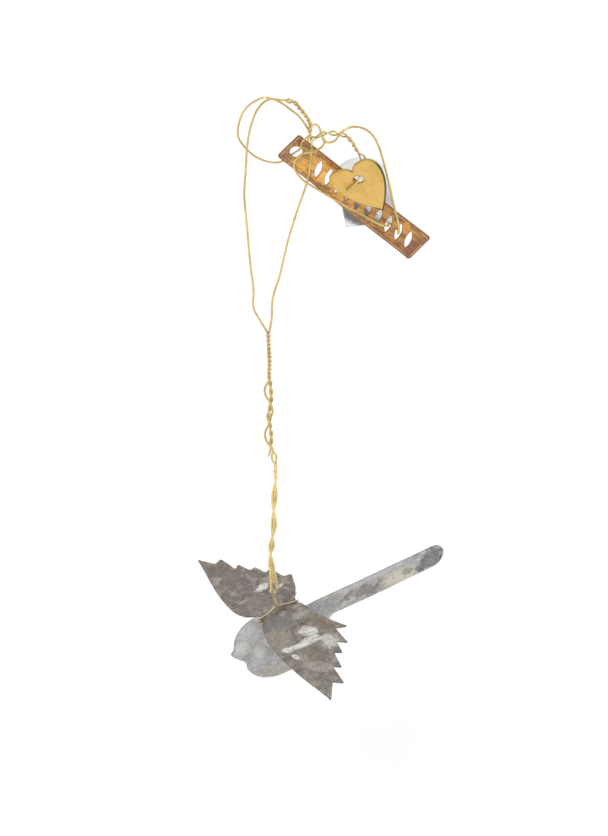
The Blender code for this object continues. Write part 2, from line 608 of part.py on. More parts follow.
def brass_heart():
    """The heart, hung by a hole below its notch."""
    frame = empty("heart_axis", HEART_HOLE, Matrix.Rotation(math.radians(-HEART_TILT_DEG), 3, "Y"))
    notch, tip = (0.0, HEART_HOLE_DROP), (0.0, HEART_HOLE_DROP + HEART_TIP)
    crest = (HEART_HALF * HEART_CREST_AT, HEART_HOLE_DROP + HEART_LOBE)
    flank = (HEART_HALF, HEART_HOLE_DROP - HEART_LOBE)
    full = (HEART_HALF * HEART_FLANK_FULL, HEART_HOLE_DROP + HEART_TIP * HEART_FLANK_AT)
    half = [*bend(notch, (HEART_HALF * HEART_NOTCH_OPEN, crest[1]), crest, 5), crest]
    half += [*bend(crest, (HEART_HALF, crest[1]), flank, 6), flank]
    half += [*bend(flank, full, tip, 7)]
    outline = [notch, *half, tip, *[(-x, z) for x, z in half[::-1]]]
    obj = plate("brass_heart", outline, TAG_SHEET, BRASS_HEART, frame)
    cut(obj, "heart_hole_cutter", [round_outline((0, 0), HEART_HOLE_RADIUS, 20)], frame)


def silver_tag():
    """The plain round-topped tag behind, hung by a hole near its top."""
    frame = empty("silver_axis", SILVER_HOLE, Matrix.Rotation(math.radians(-SILVER_TILT_DEG), 3, "Y"))
    half = SILVER_WIDTH / 2
    top = SILVER_HOLE_DROP
    foot = top - SILVER_HEIGHT
    left, right = SILVER_MIDDLE - half, SILVER_MIDDLE + half
    outline = [*arc((SILVER_MIDDLE, top - half), half, 180, 0, 20), (right, foot), (left, foot)]
    obj = plate("silver_tag", outline, TAG_SHEET, SILVER, frame)
    cut(obj, "silver_hole_cutter", [round_outline((0, 0), SILVER_HOLE_RADIUS, 20)], frame)


def main():
    """Build the whole ornament."""
    for obj in list(bpy.data.objects):
        bpy.data.objects.remove(obj)
    hanger()
    ring_wires()
    bird = empty("bird_axis", LINK, Matrix.Rotation(math.radians(180 + HEADING_DEG), 3, "Z"))
    body_plate(bird)
    wing_plate(bird)
    wing_tie(bird)
    slotted_tag()
    brass_heart()
    silver_tag()


main()
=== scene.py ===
"""Looks of a hanging zinc bird: cut sheets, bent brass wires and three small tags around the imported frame.

Sizes in the classes are millimetres in the frame's own axes; a mesh is turned into metres when it is made.
"""

from __future__ import annotations

import logging
from dataclasses import dataclass, field
from enum import Enum
from typing import Any, Sequence, Union

import bpy
import numpy as np
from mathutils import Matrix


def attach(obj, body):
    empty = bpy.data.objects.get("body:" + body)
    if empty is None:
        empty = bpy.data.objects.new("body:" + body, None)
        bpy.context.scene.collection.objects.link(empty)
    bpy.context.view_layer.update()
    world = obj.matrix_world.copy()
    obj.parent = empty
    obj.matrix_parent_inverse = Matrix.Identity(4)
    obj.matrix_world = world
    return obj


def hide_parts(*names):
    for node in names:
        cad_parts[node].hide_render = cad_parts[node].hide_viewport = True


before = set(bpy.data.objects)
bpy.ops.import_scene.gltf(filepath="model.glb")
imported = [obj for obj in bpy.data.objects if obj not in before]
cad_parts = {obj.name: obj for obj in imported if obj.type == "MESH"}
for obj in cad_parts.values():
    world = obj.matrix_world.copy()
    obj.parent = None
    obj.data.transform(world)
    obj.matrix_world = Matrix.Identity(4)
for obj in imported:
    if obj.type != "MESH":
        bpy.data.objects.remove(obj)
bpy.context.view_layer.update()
LOG = logging.getLogger("bird_ornament")
MM = 0.001
TINY = 1e-12
Array = np.ndarray
Flat = tuple[float, float]
Point = tuple[float, float, float]
Colour = tuple[float, float, float]
Pairs = Sequence[tuple[float, ...]]
Socket = bpy.types.NodeSocket
Material = bpy.types.Material

# Places that several classes share

LINK: Point = (0.06, -0.29, -215.7)
ROOT: Point = (-2.63, 0.0, -9.9)
HEADING = 213.6
TAG_CENTRE: Point = (25.6, -0.3, -40.6)
TAG_LEAN = 13.2
TAG_SLOPE = 41.8
HEART_HOLE: Point = (26.9, -4.0, -29.5)
HEART_TILT = 30.7
SILVER_HOLE: Point = (28.9, 5.0, -32.7)
SILVER_TILT = 9.0
TO_FRONT: Point = (0.0, -1.0, 0.0)
TO_LEFT: Point = (0.0, 1.0, 0.0)


class Body(Enum):
    """The frame's bodies that a piece can ride on."""

    HANGER = "hanger"
    BIRD = "bird"
    TAG = "tag"
    HEART = "heart"
    SILVER = "silver"


# Curves and surfaces as whole arrays


def unit(v: Array) -> Array:
    """Vectors along the last axis, each divided by its length."""
    return v / np.maximum(np.linalg.norm(v, axis=-1, keepdims=True), TINY)


def ease(t: Array) -> Array:
    """Smooth step 3t^2 - 2t^3 with t held between 0 and 1."""
    t = np.clip(t, 0.0, 1.0)
    return t * t * (3.0 - 2.0 * t)


def joined(*parts: Any) -> Array:
    """Points and lines of points as the rows of one array."""
    return np.vstack([np.asarray(part, float) for part in parts])


def between(start: Array, end: Array, count: int) -> Array:
    """Evenly spaced points of a straight run, without its ends."""
    return start + (end - start) * np.linspace(0, 1, count + 2)[1:-1, None]


def bend(step: float, *parts: Any, fine: int = 16, least: float = 1e-6) -> Array:
    """Centripetal Catmull-Rom curve: each span is a blend of its four nearest points, with root-length knots.

    Args:
        step: About how far apart the points that come back are.
        parts: Points and lines of points that the curve goes through.
        fine: Points worked out on each span before the even reading.
        least: Length that the shortest span counts as.

    Returns:
        Points along the curve at even steps, with both ends kept.
    """
    p = joined(*parts)
    p = np.vstack([2 * p[:1] - p[1:2], p, 2 * p[-1:] - p[-2:-1]])
    a, b, c, d = p[:-3, None], p[1:-2, None], p[2:-1, None], p[3:, None]
    gap = np.sqrt(np.maximum(np.linalg.norm(np.diff(p, axis=0), axis=1), least))[:, None, None]
    t1 = gap[:-2]
    t2 = t1 + gap[1:-1]
    t3 = t2 + gap[2:]
    t = t1 + (t2 - t1) * np.linspace(0.0, 1.0, fine, endpoint=False)[None, :, None]
    ab = (b - a) * (t / t1) + a
    bc = (c - b) * ((t - t1) / (t2 - t1)) + b
    cd = (d - c) * ((t - t2) / (t3 - t2)) + c
    abc = (bc - ab) * (t / t2) + ab
    bcd = (cd - bc) * ((t - t1) / (t3 - t1)) + bc
    line = ((bcd - abc) * ((t - t1) / (t2 - t1)) + abc).reshape(-1, p.shape[1])
    line = np.vstack([line, p[-2]])
    along = np.concatenate([[0.0], np.cumsum(np.linalg.norm(np.diff(line, axis=0), axis=1))])
    at = np.linspace(0.0, along[-1], max(2, int(round(along[-1] / step)) + 1))
    return np.stack([np.interp(at, along, column) for column in line.T], axis=1)


def steady_side(tangent: Array, tries: int = 240) -> Array:
    """A direction across the line at each point, square to the one way that the line keeps furthest from.

    Args:
        tangent: Unit tangents along the line.
        tries: Ways to choose from, spread over half a sphere.

    Returns:
        Unit vectors across the line, which never flip over.
    """
    k = np.arange(tries) + 0.5
    polar, turn = np.arccos(1 - k / tries), np.pi * (1 + 5**0.5) * k
    ways = np.stack([np.cos(turn) * np.sin(polar), np.sin(turn) * np.sin(polar), np.cos(polar)], axis=1)
    return unit(np.cross(tangent, ways[np.argmin(np.abs(tangent @ ways.T).max(axis=0))]))


def turn_matrix(axis: int, degrees: float) -> Array:
    """Right-handed rotation about a coordinate axis.

    Args:
        axis: 0 for X, 1 for Y and 2 for Z.
        degrees: The angle.

    Returns:
        The matrix.
    """
    c, s = np.cos(np.radians(degrees)), np.sin(np.radians(degrees))
    i, j = (axis + 1) % 3, (axis + 2) % 3
    m = np.eye(3)
    m[i, i], m[i, j], m[j, i], m[j, j] = c, -s, s, c
    return m


ROOT_PLACE: Point = tuple(np.asarray(LINK) + turn_matrix(2, HEADING) @ np.asarray(ROOT))


def arc(centre: Flat, radius: float, start: float, end: float, count: int) -> Array:
    """Points of a circle's arc: centre + radius (cos a, sin a), a from start to end in degrees."""
    a = np.radians(np.linspace(start, end, count + 1))
    return np.asarray(centre) + radius * np.stack([np.cos(a), np.sin(a)], axis=1)


def bow(start: Array, handle: Array, end: Array, count: int) -> Array:
    """Quadratic curve (1-t)^2 start + 2t(1-t) handle + t^2 end, ends included."""
    t = np.linspace(0.0, 1.0, count + 1)[:, None]
    return (1 - t) ** 2 * np.asarray(start) + 2 * t * (1 - t) * np.asarray(handle) + t**2 * np.asarray(end)


def softened(line: Array, cut: float, count: int = 4) -> Array:
    """Line of straight runs whose inner corners are bows that begin and end a short way from the corner.

    Args:
        line: Points of the line.
        cut: Length taken off each run at a corner.
        count: Runs of each bow.

    Returns:
        The softened line.
    """
    corner = line[1:-1]
    before, after = (corner + unit(side - corner) * cut for side in (line[:-2], line[2:]))
    return joined(line[0], *[bow(a, c, b, count) for a, c, b in zip(before, corner, after)], line[-1])


def grid_faces(rows: int, columns: int, closed: bool = False) -> Array:
    """Quads of a grid of points numbered row by row.

    Args:
        rows: Points along the first parameter.
        columns: Points along the second parameter.
        closed: Whether the last column joins the first one.

    Returns:
        Four point numbers for each face.
    """
    j = np.arange(columns if closed else columns - 1)[None]
    k = (j + 1) % columns
    low = np.arange(rows - 1)[:, None] * columns
    high = low + columns
    return np.stack([low + j, low + k, high + k, high + j], axis=-1).reshape(-1, 4)


def ring_between(inner: Array, outer: Array, rows: int, crowd: float = 0.8) -> tuple[Array, Array]:
    """A flat ring: inner + t^crowd (outer - inner) over the share t and the place along both outlines.

    Args:
        inner: Closed outline of the opening.
        outer: Closed outline with as many points.
        rows: Points from one to the other.
        crowd: Power that spaces the rows.

    Returns:
        The points and the quads between them.
    """
    t = np.linspace(0, 1, rows)[:, None, None] ** crowd
    points = (inner[None] * (1 - t) + outer[None] * t).reshape(-1, 2)
    return points, grid_faces(rows, len(inner), closed=True)


def to_outline(points: Array, outline: Array) -> Array:
    """Distance of flat points from a closed outline: the least over all of its straight runs.

    Args:
        points: The points.
        outline: The outline's points in order.

    Returns:
        One distance for each point.
    """
    run = np.roll(outline, -1, axis=0) - outline
    share = np.einsum("psk,sk->ps", points[:, None] - outline[None], run) / np.maximum((run**2).sum(1), TINY)
    foot = outline[None] + np.clip(share, 0, 1)[..., None] * run[None]
    return np.linalg.norm(points[:, None] - foot, axis=2).min(axis=1)


def ripple(p: Array, waves: Pairs) -> Array:
    """Hand-worked unevenness: a sum of sines, each with a strength, a wave vector and a start angle."""
    strength, kx, ky, start = np.asarray(waves).T[..., None]
    return (strength * np.sin(kx * p[:, 0] + ky * p[:, 1] + start)).sum(axis=0)


# Shader maths


@dataclass(frozen=True)
class Value:
    """A number that changes over a surface: an output socket whose sums are Math nodes."""

    shop: Shop
    socket: Socket

    def __add__(self, other: Number) -> Value:
        """Sum."""
        return self.shop.math("ADD", self, other)

    def __sub__(self, other: Number) -> Value:
        """Difference."""
        return self.shop.math("SUBTRACT", self, other)

    def __rsub__(self, other: Number) -> Value:
        """Difference from a number on the left."""
        return self.shop.math("SUBTRACT", other, self)

    def __mul__(self, other: Number) -> Value:
        """Product."""
        return self.shop.math("MULTIPLY", self, other)

    def __truediv__(self, other: Number) -> Value:
        """Quotient."""
        return self.shop.math("DIVIDE", self, other)

    __radd__ = __add__
    __rmul__ = __mul__

    def most(self, other: Number) -> Value:
        """The larger of two values."""
        return self.shop.math("MAXIMUM", self, other)

    def step(self, low: float, high: float) -> Value:
        """Smooth step from 0 to 1 while this value goes from low to high."""
        sockets = {"Value": self, "From Min": low, "From Max": high}
        return self.shop.value("ShaderNodeMapRange", "Result", sockets, interpolation_type="SMOOTHSTEP")


Number = Union[Value, float]
Coat = tuple[Colour, Value]


class Shop:
    """Builds one material's node tree."""

    def __init__(self, name: str) -> None:
        """A new material with an empty tree, a Principled shader and its output.

        Args:
            name: The material's name.
        """
        self.material = bpy.data.materials.new(name)
        self.material.use_nodes = True
        self.tree = self.material.node_tree
        self.tree.nodes.clear()
        self.shader = self.node("ShaderNodeBsdfPrincipled")
        self.node("ShaderNodeOutputMaterial", {"Surface": self.shader.outputs["BSDF"]})

    def feed(self, node: bpy.types.Node, sockets: dict[Any, Any]) -> None:
        """Link values and sockets into a node's inputs, or set their numbers.

        Args:
            node: The node.
            sockets: A Value, a socket, a number or a tuple by the input's name or number.
        """
        for name, source in sockets.items():
            target = node.inputs[name]
            source = source.socket if isinstance(source, Value) else source
            if isinstance(source, Socket):
                self.tree.links.new(source, target)
            else:
                target.default_value = (*source, 1.0) if target.type == "RGBA" else source

    def node(self, kind: str, sockets: dict[Any, Any] | None = None, **settings: Any) -> bpy.types.Node:
        """Add a node of any kind.

        Args:
            kind: The node's type name.
            sockets: What feeds its inputs.
            settings: Its own settings.

        Returns:
            The new node.
        """
        node = self.tree.nodes.new(kind)
        for name, setting in settings.items():
            setattr(node, name, setting)
        self.feed(node, sockets or {})
        return node

    def value(self, kind: str, output: Any, sockets: dict[Any, Any], **settings: Any) -> Value:
        """Add a node and take one of its outputs as a Value."""
        return Value(self, self.node(kind, sockets, **settings).outputs[output])

    def math(self, operation: str, *terms: Number) -> Value:
        """One Math node over its terms."""
        return self.value("ShaderNodeMath", 0, dict(enumerate(terms)), operation=operation)

    def mapped(self, vector: Socket, **sockets: Point) -> Socket:
        """A vector through one Mapping node."""
        return self.node("ShaderNodeMapping", {"Vector": vector, **sockets}).outputs[0]

    def turned(self, vector: Socket, degrees: Point) -> Socket:
        """A vector turned by degrees about X, Y and Z."""
        return self.mapped(vector, Rotation=tuple(np.radians(degrees)))

    def place(self, turn: Point = (0, 0, 0), centre: Point = (0, 0, 0)) -> Socket:
        """Object coordinates in millimetres from a piece's own origin along its own axes.

        Args:
            turn: Rotation in degrees that brings the piece's axes to X, Y and Z.
            centre: The piece's origin in the frame, in millimetres.

        Returns:
            The vector socket to feed a texture with.
        """
        raw = self.node("ShaderNodeTexCoord").outputs["Object"]
        away = tuple(-float(c) for c in centre)
        return self.turned(self.mapped(raw, Location=away, Scale=(1 / MM,) * 3), turn)

    def axes(self, vector: Socket) -> tuple[Value, ...]:
        """The three numbers of a vector."""
        split = self.node("ShaderNodeSeparateXYZ", {"Vector": vector})
        return tuple(Value(self, out) for out in split.outputs)

    def noise(self, vector: Socket, scale: float, detail: float, rough: float, warp: float = 0.0) -> Value:
        """Cloudy noise between 0 and 1, with scale in waves a millimetre."""
        sockets = {"Vector": vector, "Scale": scale, "Detail": detail, "Roughness": rough, "Distortion": warp}
        return self.value("ShaderNodeTexNoise", "Fac", sockets)

    def attribute(self, name: str) -> Value:
        """A number stored on the mesh's points."""
        return self.value("ShaderNodeAttribute", "Fac", {}, attribute_name=name)

    def layers(self, under: Any, *coats: Coat) -> Socket:
        """Coats of colour over one another through Mix nodes.

        Args:
            under: Colour at the bottom.
            coats: Colour and mask of each coat, from the bottom up.

        Returns:
            The finished colour's socket.
        """
        for over, mask in coats:
            under = self.node("ShaderNodeMix", {0: mask, 6: under, 7: over}, data_type="RGBA").outputs[2]
        return under

    def blot(self, u: Value, v: Value, stain_and_shade: Blot, ragged: Value) -> Value:
        """A ragged ellipse: 1 inside and 0 outside, its edge broken up by noise.

        Args:
            u: First coordinate on the piece.
            v: Second coordinate on the piece.
            stain_and_shade: Where the ellipse lies and how large it is.
            ragged: Noise that eats into the edge.

        Returns:
            The mask.
        """
        c, s = np.cos(np.radians(stain_and_shade.turn)), np.sin(np.radians(stain_and_shade.turn))
        right, up = u - stain_and_shade.at[0], v - stain_and_shade.at[1]
        along, across = (right * c + up * s) / stain_and_shade.half[0], (up * c - right * s) / stain_and_shade.half[1]
        reach = along * along + across * across + (ragged - 0.5) * stain_and_shade.ragged
        return reach.step(1.0 + stain_and_shade.soft, 1.0 - stain_and_shade.soft) * stain_and_shade.strength

    def finish(self, colour: Any, rough: Number, metal: Number, height: Value, depth: float) -> Material:
        """Feed the shader and hand back the material.

        Args:
            colour: Base colour.
            rough: Roughness.
            metal: Metallic value.
            height: Relief that a Bump node reads.
            depth: How deep that relief is, in millimetres.

        Returns:
            The finished material.
        """
        bump = self.node("ShaderNodeBump", {"Strength": 1.0, "Distance": depth * MM, "Height": height})
        sockets = {"Base Color": colour, "Roughness": rough, "Metallic": metal, "Normal": bump.outputs[0]}
        self.feed(self.shader, sockets)
        return self.material


@dataclass(frozen=True)
class Blot:
    """A patch on a sheet, such as a stain, an oxide streak or a painted shadow: its middle, half sizes,
    colour, turn, strength and edge.
    """

    at: Flat
    half: Flat
    colour: Colour = (0.5, 0.5, 0.5)
    turn: float = 0.0
    strength: float = 1.0
    soft: float = 0.45
    ragged: float = 8.0


@dataclass(frozen=True)
class ZincFinish:
    """Weathered zinc sheet: clouded grey, rubbed edges, fine strokes, stains and streaks of white oxide."""

    name: str
    dark: Colour
    mid: Colour
    cool: Colour
    light: Colour
    oxide: Colour
    stroke: float
    stains_and_shade: tuple[Blot, ...]
    streaks: tuple[Blot, ...]
    upright: bool = False
    calm: float = 1.0
    solid: float = 0.0

    def make(self) -> Material:
        """The node tree of this sheet.

        Returns:
            The material.
        """
        shop = Shop(self.name)
        p = shop.place((0, 0, -HEADING), ROOT_PLACE)
        x, y, z = shop.axes(p)
        v = z if self.upright else y
        drawn = shop.turned(p, (0, self.stroke, 0) if self.upright else (0, 0, -self.stroke))
        smeared = shop.mapped(drawn, Scale=(0.55, 1.15, 1.15))
        lined = shop.mapped(drawn, Scale=(0.09, 2.2, 2.2))
        broad = shop.noise(p, scale=0.1, detail=3, rough=0.55, warp=0.2)
        tone = shop.noise(shop.turned(p, (40, 25, 70)), scale=0.19, detail=5, rough=0.62, warp=0.2)
        patch = shop.noise(p, scale=0.33, detail=7, rough=0.7, warp=0.25)
        smear = shop.noise(smeared, scale=0.42, detail=6, rough=0.7, warp=0.3)
        grain = shop.noise(p, scale=0.95, detail=5, rough=0.72)
        lines = shop.noise(lined, scale=0.9, detail=3, rough=0.6)
        pits = shop.noise(p, scale=1.3, detail=3, rough=0.6).step(0.64, 0.7)
        scratch = shop.noise(p, scale=0.36, detail=3, rough=0.6, warp=1.2)
        hair = scratch.step(0.47, 0.495) * scratch.step(0.52, 0.495) * tone.step(0.46, 0.6)
        edge = shop.attribute("rim")
        cover = smear.step(0.3, 0.62) * 0.7 + grain.step(0.34, 0.6) * 0.45
        cover = cover * (1.0 - self.solid) + self.solid
        ragged = patch * 0.65 + grain * 0.35
        white = (patch * 0.5 + smear * 0.5).step(0.55, 0.64) * 0.3
        thin = 0.34 + (smear * 0.35 + patch * 0.25 + grain * 0.4).step(0.4, 0.54) * 0.66
        broken = patch * 0.5 + grain * 0.5
        for blot in self.streaks:
            white = white.most(shop.blot(x, v, blot, broken) * thin)
        colour = shop.layers(
            self.mid,
            (self.cool, tone.step(0.42, 0.58)),
            (self.dark, broad.step(0.54, 0.4) * 0.5),
            (self.light, patch.step(0.47, 0.6) * (0.6 * self.calm)),
            (self.dark, smear.step(0.49, 0.6) * (0.65 * self.calm)),
            *[(blot.colour, shop.blot(x, v, blot, ragged) * cover) for blot in self.stains_and_shade],
            (self.light, lines.step(0.56, 0.66) * 0.2),
            (self.dark, grain.step(0.47, 0.37) * 0.5),
            (self.light, grain.step(0.55, 0.66) * 0.5),
            (self.oxide, white),
            (self.dark, pits * 0.5 + hair * 0.35),
            (self.light, edge.step(0.9, 0.25) * patch.step(0.42, 0.6) * 0.45),
            (self.dark, edge.step(0.25, 0.02) * 0.35))
        height = grain * 0.5 + patch * 0.4 + smear * 0.3 + white * 0.4
        return shop.finish(colour, 0.5 + grain * 0.16 + white * 0.2, 0.5 - white * 0.45, height, 0.09)


@dataclass(frozen=True)
class WireFinish:
    """Drawn brass wire, a little darker where hands have rubbed it, with paler painted light below a given
    height.
    """

    name: str
    bright: Colour
    dull: Colour
    deep: Colour
    # lower_lit: paler colour painted below lower_lit_from, standing in for brighter light on the lower part.
    lower_lit: Colour
    lower_lit_from: float = -146.0
    lower_lit_reach: float = 14.0

    def make(self) -> Material:
        """The node tree of the wire.

        Returns:
            The material.
        """
        shop = Shop(self.name)
        p = shop.place()
        cloud = shop.noise(p, scale=0.16, detail=4, rough=0.6)
        fine = shop.noise(p, scale=1.6, detail=4, rough=0.65)
        low = shop.axes(p)[2].step(self.lower_lit_from, self.lower_lit_from - self.lower_lit_reach)
        colour = shop.layers(
            self.bright,
            (self.dull, cloud.step(0.4, 0.62)),
            # Painted light: below the set height the wire takes a paler colour.
            (self.lower_lit, low * fine.step(0.7, 0.4)),
            (self.deep, fine.step(0.54, 0.74) * 0.7))
        return shop.finish(colour, 0.34 + fine * 0.16, 1.0, fine, 0.02)


@dataclass(frozen=True)
class TintedFinish:
    """Brass sheet with heat colours: clouds of orange and purple-brown, a drawn border line and dark rims."""

    name: str
    gold: Colour
    orange: Colour
    brown: Colour
    purple: Colour

    def make(self) -> Material:
        """The node tree of the long tag.

        Returns:
            The material.
        """
        shop = Shop(self.name)
        p = shop.place((TAG_LEAN, -TAG_SLOPE, 0.0), TAG_CENTRE)
        x, _, h = shop.axes(p)
        broad = shop.noise(p, scale=0.1, detail=4, rough=0.6, warp=1.2)
        cloud = shop.noise(p, scale=0.3, detail=5, rough=0.62, warp=1.6)
        fine = shop.noise(p, scale=1.5, detail=5, rough=0.7)
        drawn = shop.noise(shop.mapped(p, Scale=(0.25, 1.0, 1.6)), scale=0.5, detail=5, rough=0.62, warp=0.8)
        rim, cut = shop.attribute("rim"), shop.attribute("slot")
        heat = (cloud * 0.6 + drawn * 0.4).step(0.38, 0.6) * 0.6 + 0.6
        heat = x.step(-2.0, 10.0) * (h.step(4.5, -3.5) * 0.4 + 0.45) * heat
        edges = (h * h / 20.0 + (broad - 0.5) * 3.0 + (cloud - 0.5) * 2.4).step(0.45, 1.1)
        ends = (x * x / 700.0 + (broad - 0.5) * 1.6 + (drawn - 0.5) * 1.2).step(0.45, 0.95)
        line = rim.step(0.35, 0.5) * rim.step(0.9, 0.75)
        colour = shop.layers(
            self.orange,
            (self.gold, (cloud * 0.7 + fine * 0.3).step(0.42, 0.58)),
            (self.brown, drawn.step(0.48, 0.68) * 0.75),
            (self.brown, heat),
            (self.purple, edges * 0.8),
            (self.purple, ends * 0.75),
            (self.gold, line * cloud.step(0.4, 0.6) * 0.5),
            (self.brown, cut.step(0.45, 0.05) * 0.7),
            (self.brown, rim.step(0.3, 0.05) * 0.8))
        height = fine * 0.4 + drawn * 0.4 - line * 0.6
        return shop.finish(colour, 0.36 + fine * 0.18 + edges * 0.08, 0.8, height, 0.05)


@dataclass(frozen=True)
class CharmFinish:
    """Rolled metal sheet with fine lines one way, soft clouds, rubbed edges, painted shade along one flank,
    painted shadow blots and a faint painted glow on a shaded top.
    """

    name: str
    bright: Colour
    dull: Colour
    rim_colour: Colour
    turn: float
    centre: Point
    rough: float
    metal: float
    lines: float
    stains_and_shade: tuple[Blot, ...] = ()
    # Colour of painted shade along the lower right flank; flank sets how strong it is.
    flank_shade: Colour = (0.09, 0.06, 0.022)
    flank: float = 0.0
    # Emission colour of a painted glow that lifts the shaded upper front.
    glow: Colour = (0.0, 0.0, 0.0)

    def make(self) -> Material:
        """The node tree of the charm, whose painted shadow blots and painted glow are on its front only.

        Returns:
            The material.
        """
        shop = Shop(self.name)
        p = shop.place((0, self.turn, 0), self.centre)
        x, depth, h = shop.axes(p)
        front = depth.step(0.2, -0.2)
        cloud = shop.noise(p, scale=0.22, detail=5, rough=0.62, warp=0.8)
        grain = shop.noise(p, scale=2.2, detail=5, rough=0.7)
        lines = shop.noise(shop.mapped(p, Scale=(0.12, 1.0, 4.0)), scale=1.1, detail=4, rough=0.6)
        rim = shop.attribute("rim")
        colour = shop.layers(
            self.bright,
            (self.dull, (cloud * 0.75 + grain * 0.25).step(0.42, 0.62) * 0.8),
            (self.dull, lines.step(0.5, 0.7) * self.lines),
            # Blots on the front: on the bright tag a painted shadow and dark reflection of the long tag.
            *[(blot.colour, shop.blot(x, h, blot, cloud) * front) for blot in self.stains_and_shade],
            (self.rim_colour, rim.step(0.6, 0.05) * 0.7),
            # Painted shade along the lower right flank, near the outline.
            (self.flank_shade, rim.step(0.75, 0.4) * (x - h * 0.6).step(4.5, 7.5) * self.flank))
        # Painted glow: the upper front, which lies in shade, gives off a little light of its own.
        if any(self.glow):
            lit = shop.layers((0.0, 0.0, 0.0), (self.glow, h.step(-15.0, -6.0) * front))
            shop.feed(shop.shader, {"Emission Color": lit, "Emission Strength": 1.0})
        rough = self.rough + grain * 0.14 + lines * 0.1 * self.lines
        return shop.finish(colour, rough, self.metal, grain * 0.5 + lines * 0.8 * self.lines, 0.03)


@dataclass(frozen=True)
class FloorFinish:
    """A white studio floor that glows a little, so that it stays pale all over."""

    name: str = "white_floor"
    white: Colour = (0.9, 0.9, 0.9)
    rough: float = 0.9
    light: Colour = (1.0, 1.0, 1.0)
    glow: float = 0.13

    def make(self) -> Material:
        """The plain floor material.

        Returns:
            The material.
        """
        shop = Shop(self.name)
        lit = {"Emission Color": self.light, "Emission Strength": self.glow}
        shop.feed(shop.shader, {"Base Color": self.white, "Roughness": self.rough, "Metallic": 0.0, **lit})
        return shop.material


# Pieces


@dataclass
class Shape:
    """A mesh in the making: points in millimetres, faces and numbers kept on the points."""

    points: Array
    faces: list[list[int]]
    marks: dict[str, Array] = field(default_factory=dict)

    def welded(self, near: float = 1e-4) -> Shape:
        """The same shape with points that lie together made one.

        Args:
            near: How close two points are to count as one, in millimetres.

        Returns:
            The welded shape.
        """
        spots = np.round(self.points / near)
        _, first, back = np.unique(spots, axis=0, return_index=True, return_inverse=True)
        back = np.ravel(back)
        kept = [list(dict.fromkeys(back[face].tolist())) for face in self.faces]
        marks = {name: mark[first] for name, mark in self.marks.items()}
        return Shape(self.points[first], [face for face in kept if len(face) > 2], marks)

    def put(self, name: str, material: Material) -> bpy.types.Object:
        """Make the object, at the origin, in metres.

        Args:
            name: The piece's name.
            material: Its finish.

        Returns:
            The object.
        """
        mesh = bpy.data.meshes.new(name)
        mesh.from_pydata((self.points * MM).tolist(), [], self.faces)
        mesh.polygons.foreach_set("use_smooth", np.ones(len(mesh.polygons), bool))
        for label, mark in self.marks.items():
            mesh.attributes.new(label, "FLOAT", "POINT").data.foreach_set("value", mark.astype(np.float32))
        mesh.materials.append(material)
        mesh.update()
        obj = bpy.data.objects.new(name, mesh)
        bpy.context.scene.collection.objects.link(obj)
        return obj


def settle(obj: bpy.types.Object, body: Body, node: str) -> None:
    """Let a piece ride on its body in place of a CAD node, which is hidden.

    Args:
        obj: The piece.
        body: The body that carries it.
        node: The CAD node that it stands for.
    """
    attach(obj, body.value)
    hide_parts(node)
    LOG.info("%s rides on %s for %s: %d faces", obj.name, body.value, node, len(obj.data.polygons))


def thicken(obj: bpy.types.Object, thickness: float, edge: float, sharp: float = 50.0) -> None:
    """Give a sheet its thickness and soften its cut edges.

    Args:
        obj: A flat or bent surface.
        thickness: Sheet thickness in millimetres.
        edge: Width of the softened edge in millimetres.
        sharp: Angle in degrees from which an edge is softened.
    """
    solid = obj.modifiers.new("sheet", "SOLIDIFY")
    solid.thickness, solid.offset, solid.use_even_offset = thickness * MM, 0.0, False
    bevel = obj.modifiers.new("cut_edge", "BEVEL")
    bevel.width, bevel.segments, bevel.limit_method = edge * MM, 2, "ANGLE"
    bevel.angle_limit, bevel.use_clamp_overlap = np.radians(sharp), False
    obj.modifiers.new("flat_shading", "WEIGHTED_NORMAL").keep_sharp = True


def wire_shape(path: Array, thickness: float, sides: int = 12, cut: Flat = (0.35, 0.7)) -> Shape:
    """Round wire: at each point of the path, a ring of thickness/2 (cos a n + sin a b), with softened ends.

    Args:
        path: Points along the wire's middle.
        thickness: The wire's diameter.
        sides: Points around it.
        cut: Length of a softened end and radius of its face, in wire radii.

    Returns:
        The wire's shape.
    """
    radius = thickness / 2
    tangent = unit(np.gradient(path, axis=0))
    soft = cut[0] * radius
    path = joined(path[0], path[0] + tangent[0] * soft, path[1:-1], path[-1] - tangent[-1] * soft, path[-1])
    tangent = joined(tangent[0], tangent, tangent[-1])
    size = np.full(len(path), radius)
    size[[0, -1]] = cut[1] * radius
    side = steady_side(tangent)
    a = np.linspace(0, 2 * np.pi, sides, endpoint=False)[None, :, None]
    ring = np.cos(a) * side[:, None] + np.sin(a) * np.cross(tangent, side)[:, None]
    points = (path[:, None] + size[:, None, None] * ring).reshape(-1, 3)
    near, far = list(range(sides))[::-1], list(range(len(points) - sides, len(points)))
    return Shape(points, [*grid_faces(len(path), sides, closed=True).tolist(), near, far])


def pair_about(axis: Array, radius: Array | float, turns: float, start: Point,
               gather: float = 1.0) -> tuple[Array, Array]:
    """Two strands wound about a line: axis +- radius (cos a s + sin a t x s), a as a power of the share.

    Args:
        axis: Points of the line.
        radius: Distance of each strand's middle from the line, at each point or all along.
        turns: Full turns over the line's length.
        start: Direction of the first strand at the line's start.
        gather: The power; above 1 the turns crowd to the end, below 1 to the start.

    Returns:
        Both strands.
    """
    tangent = unit(np.gradient(axis, axis=0))
    side = unit(np.asarray(start) - tangent * (tangent @ np.asarray(start))[:, None])
    a = (2 * np.pi * turns * np.linspace(0, 1, len(axis)) ** gather)[:, None]
    off = np.reshape(radius, (-1, 1)) * (np.cos(a) * side + np.sin(a) * np.cross(tangent, side))
    return axis + off, axis - off


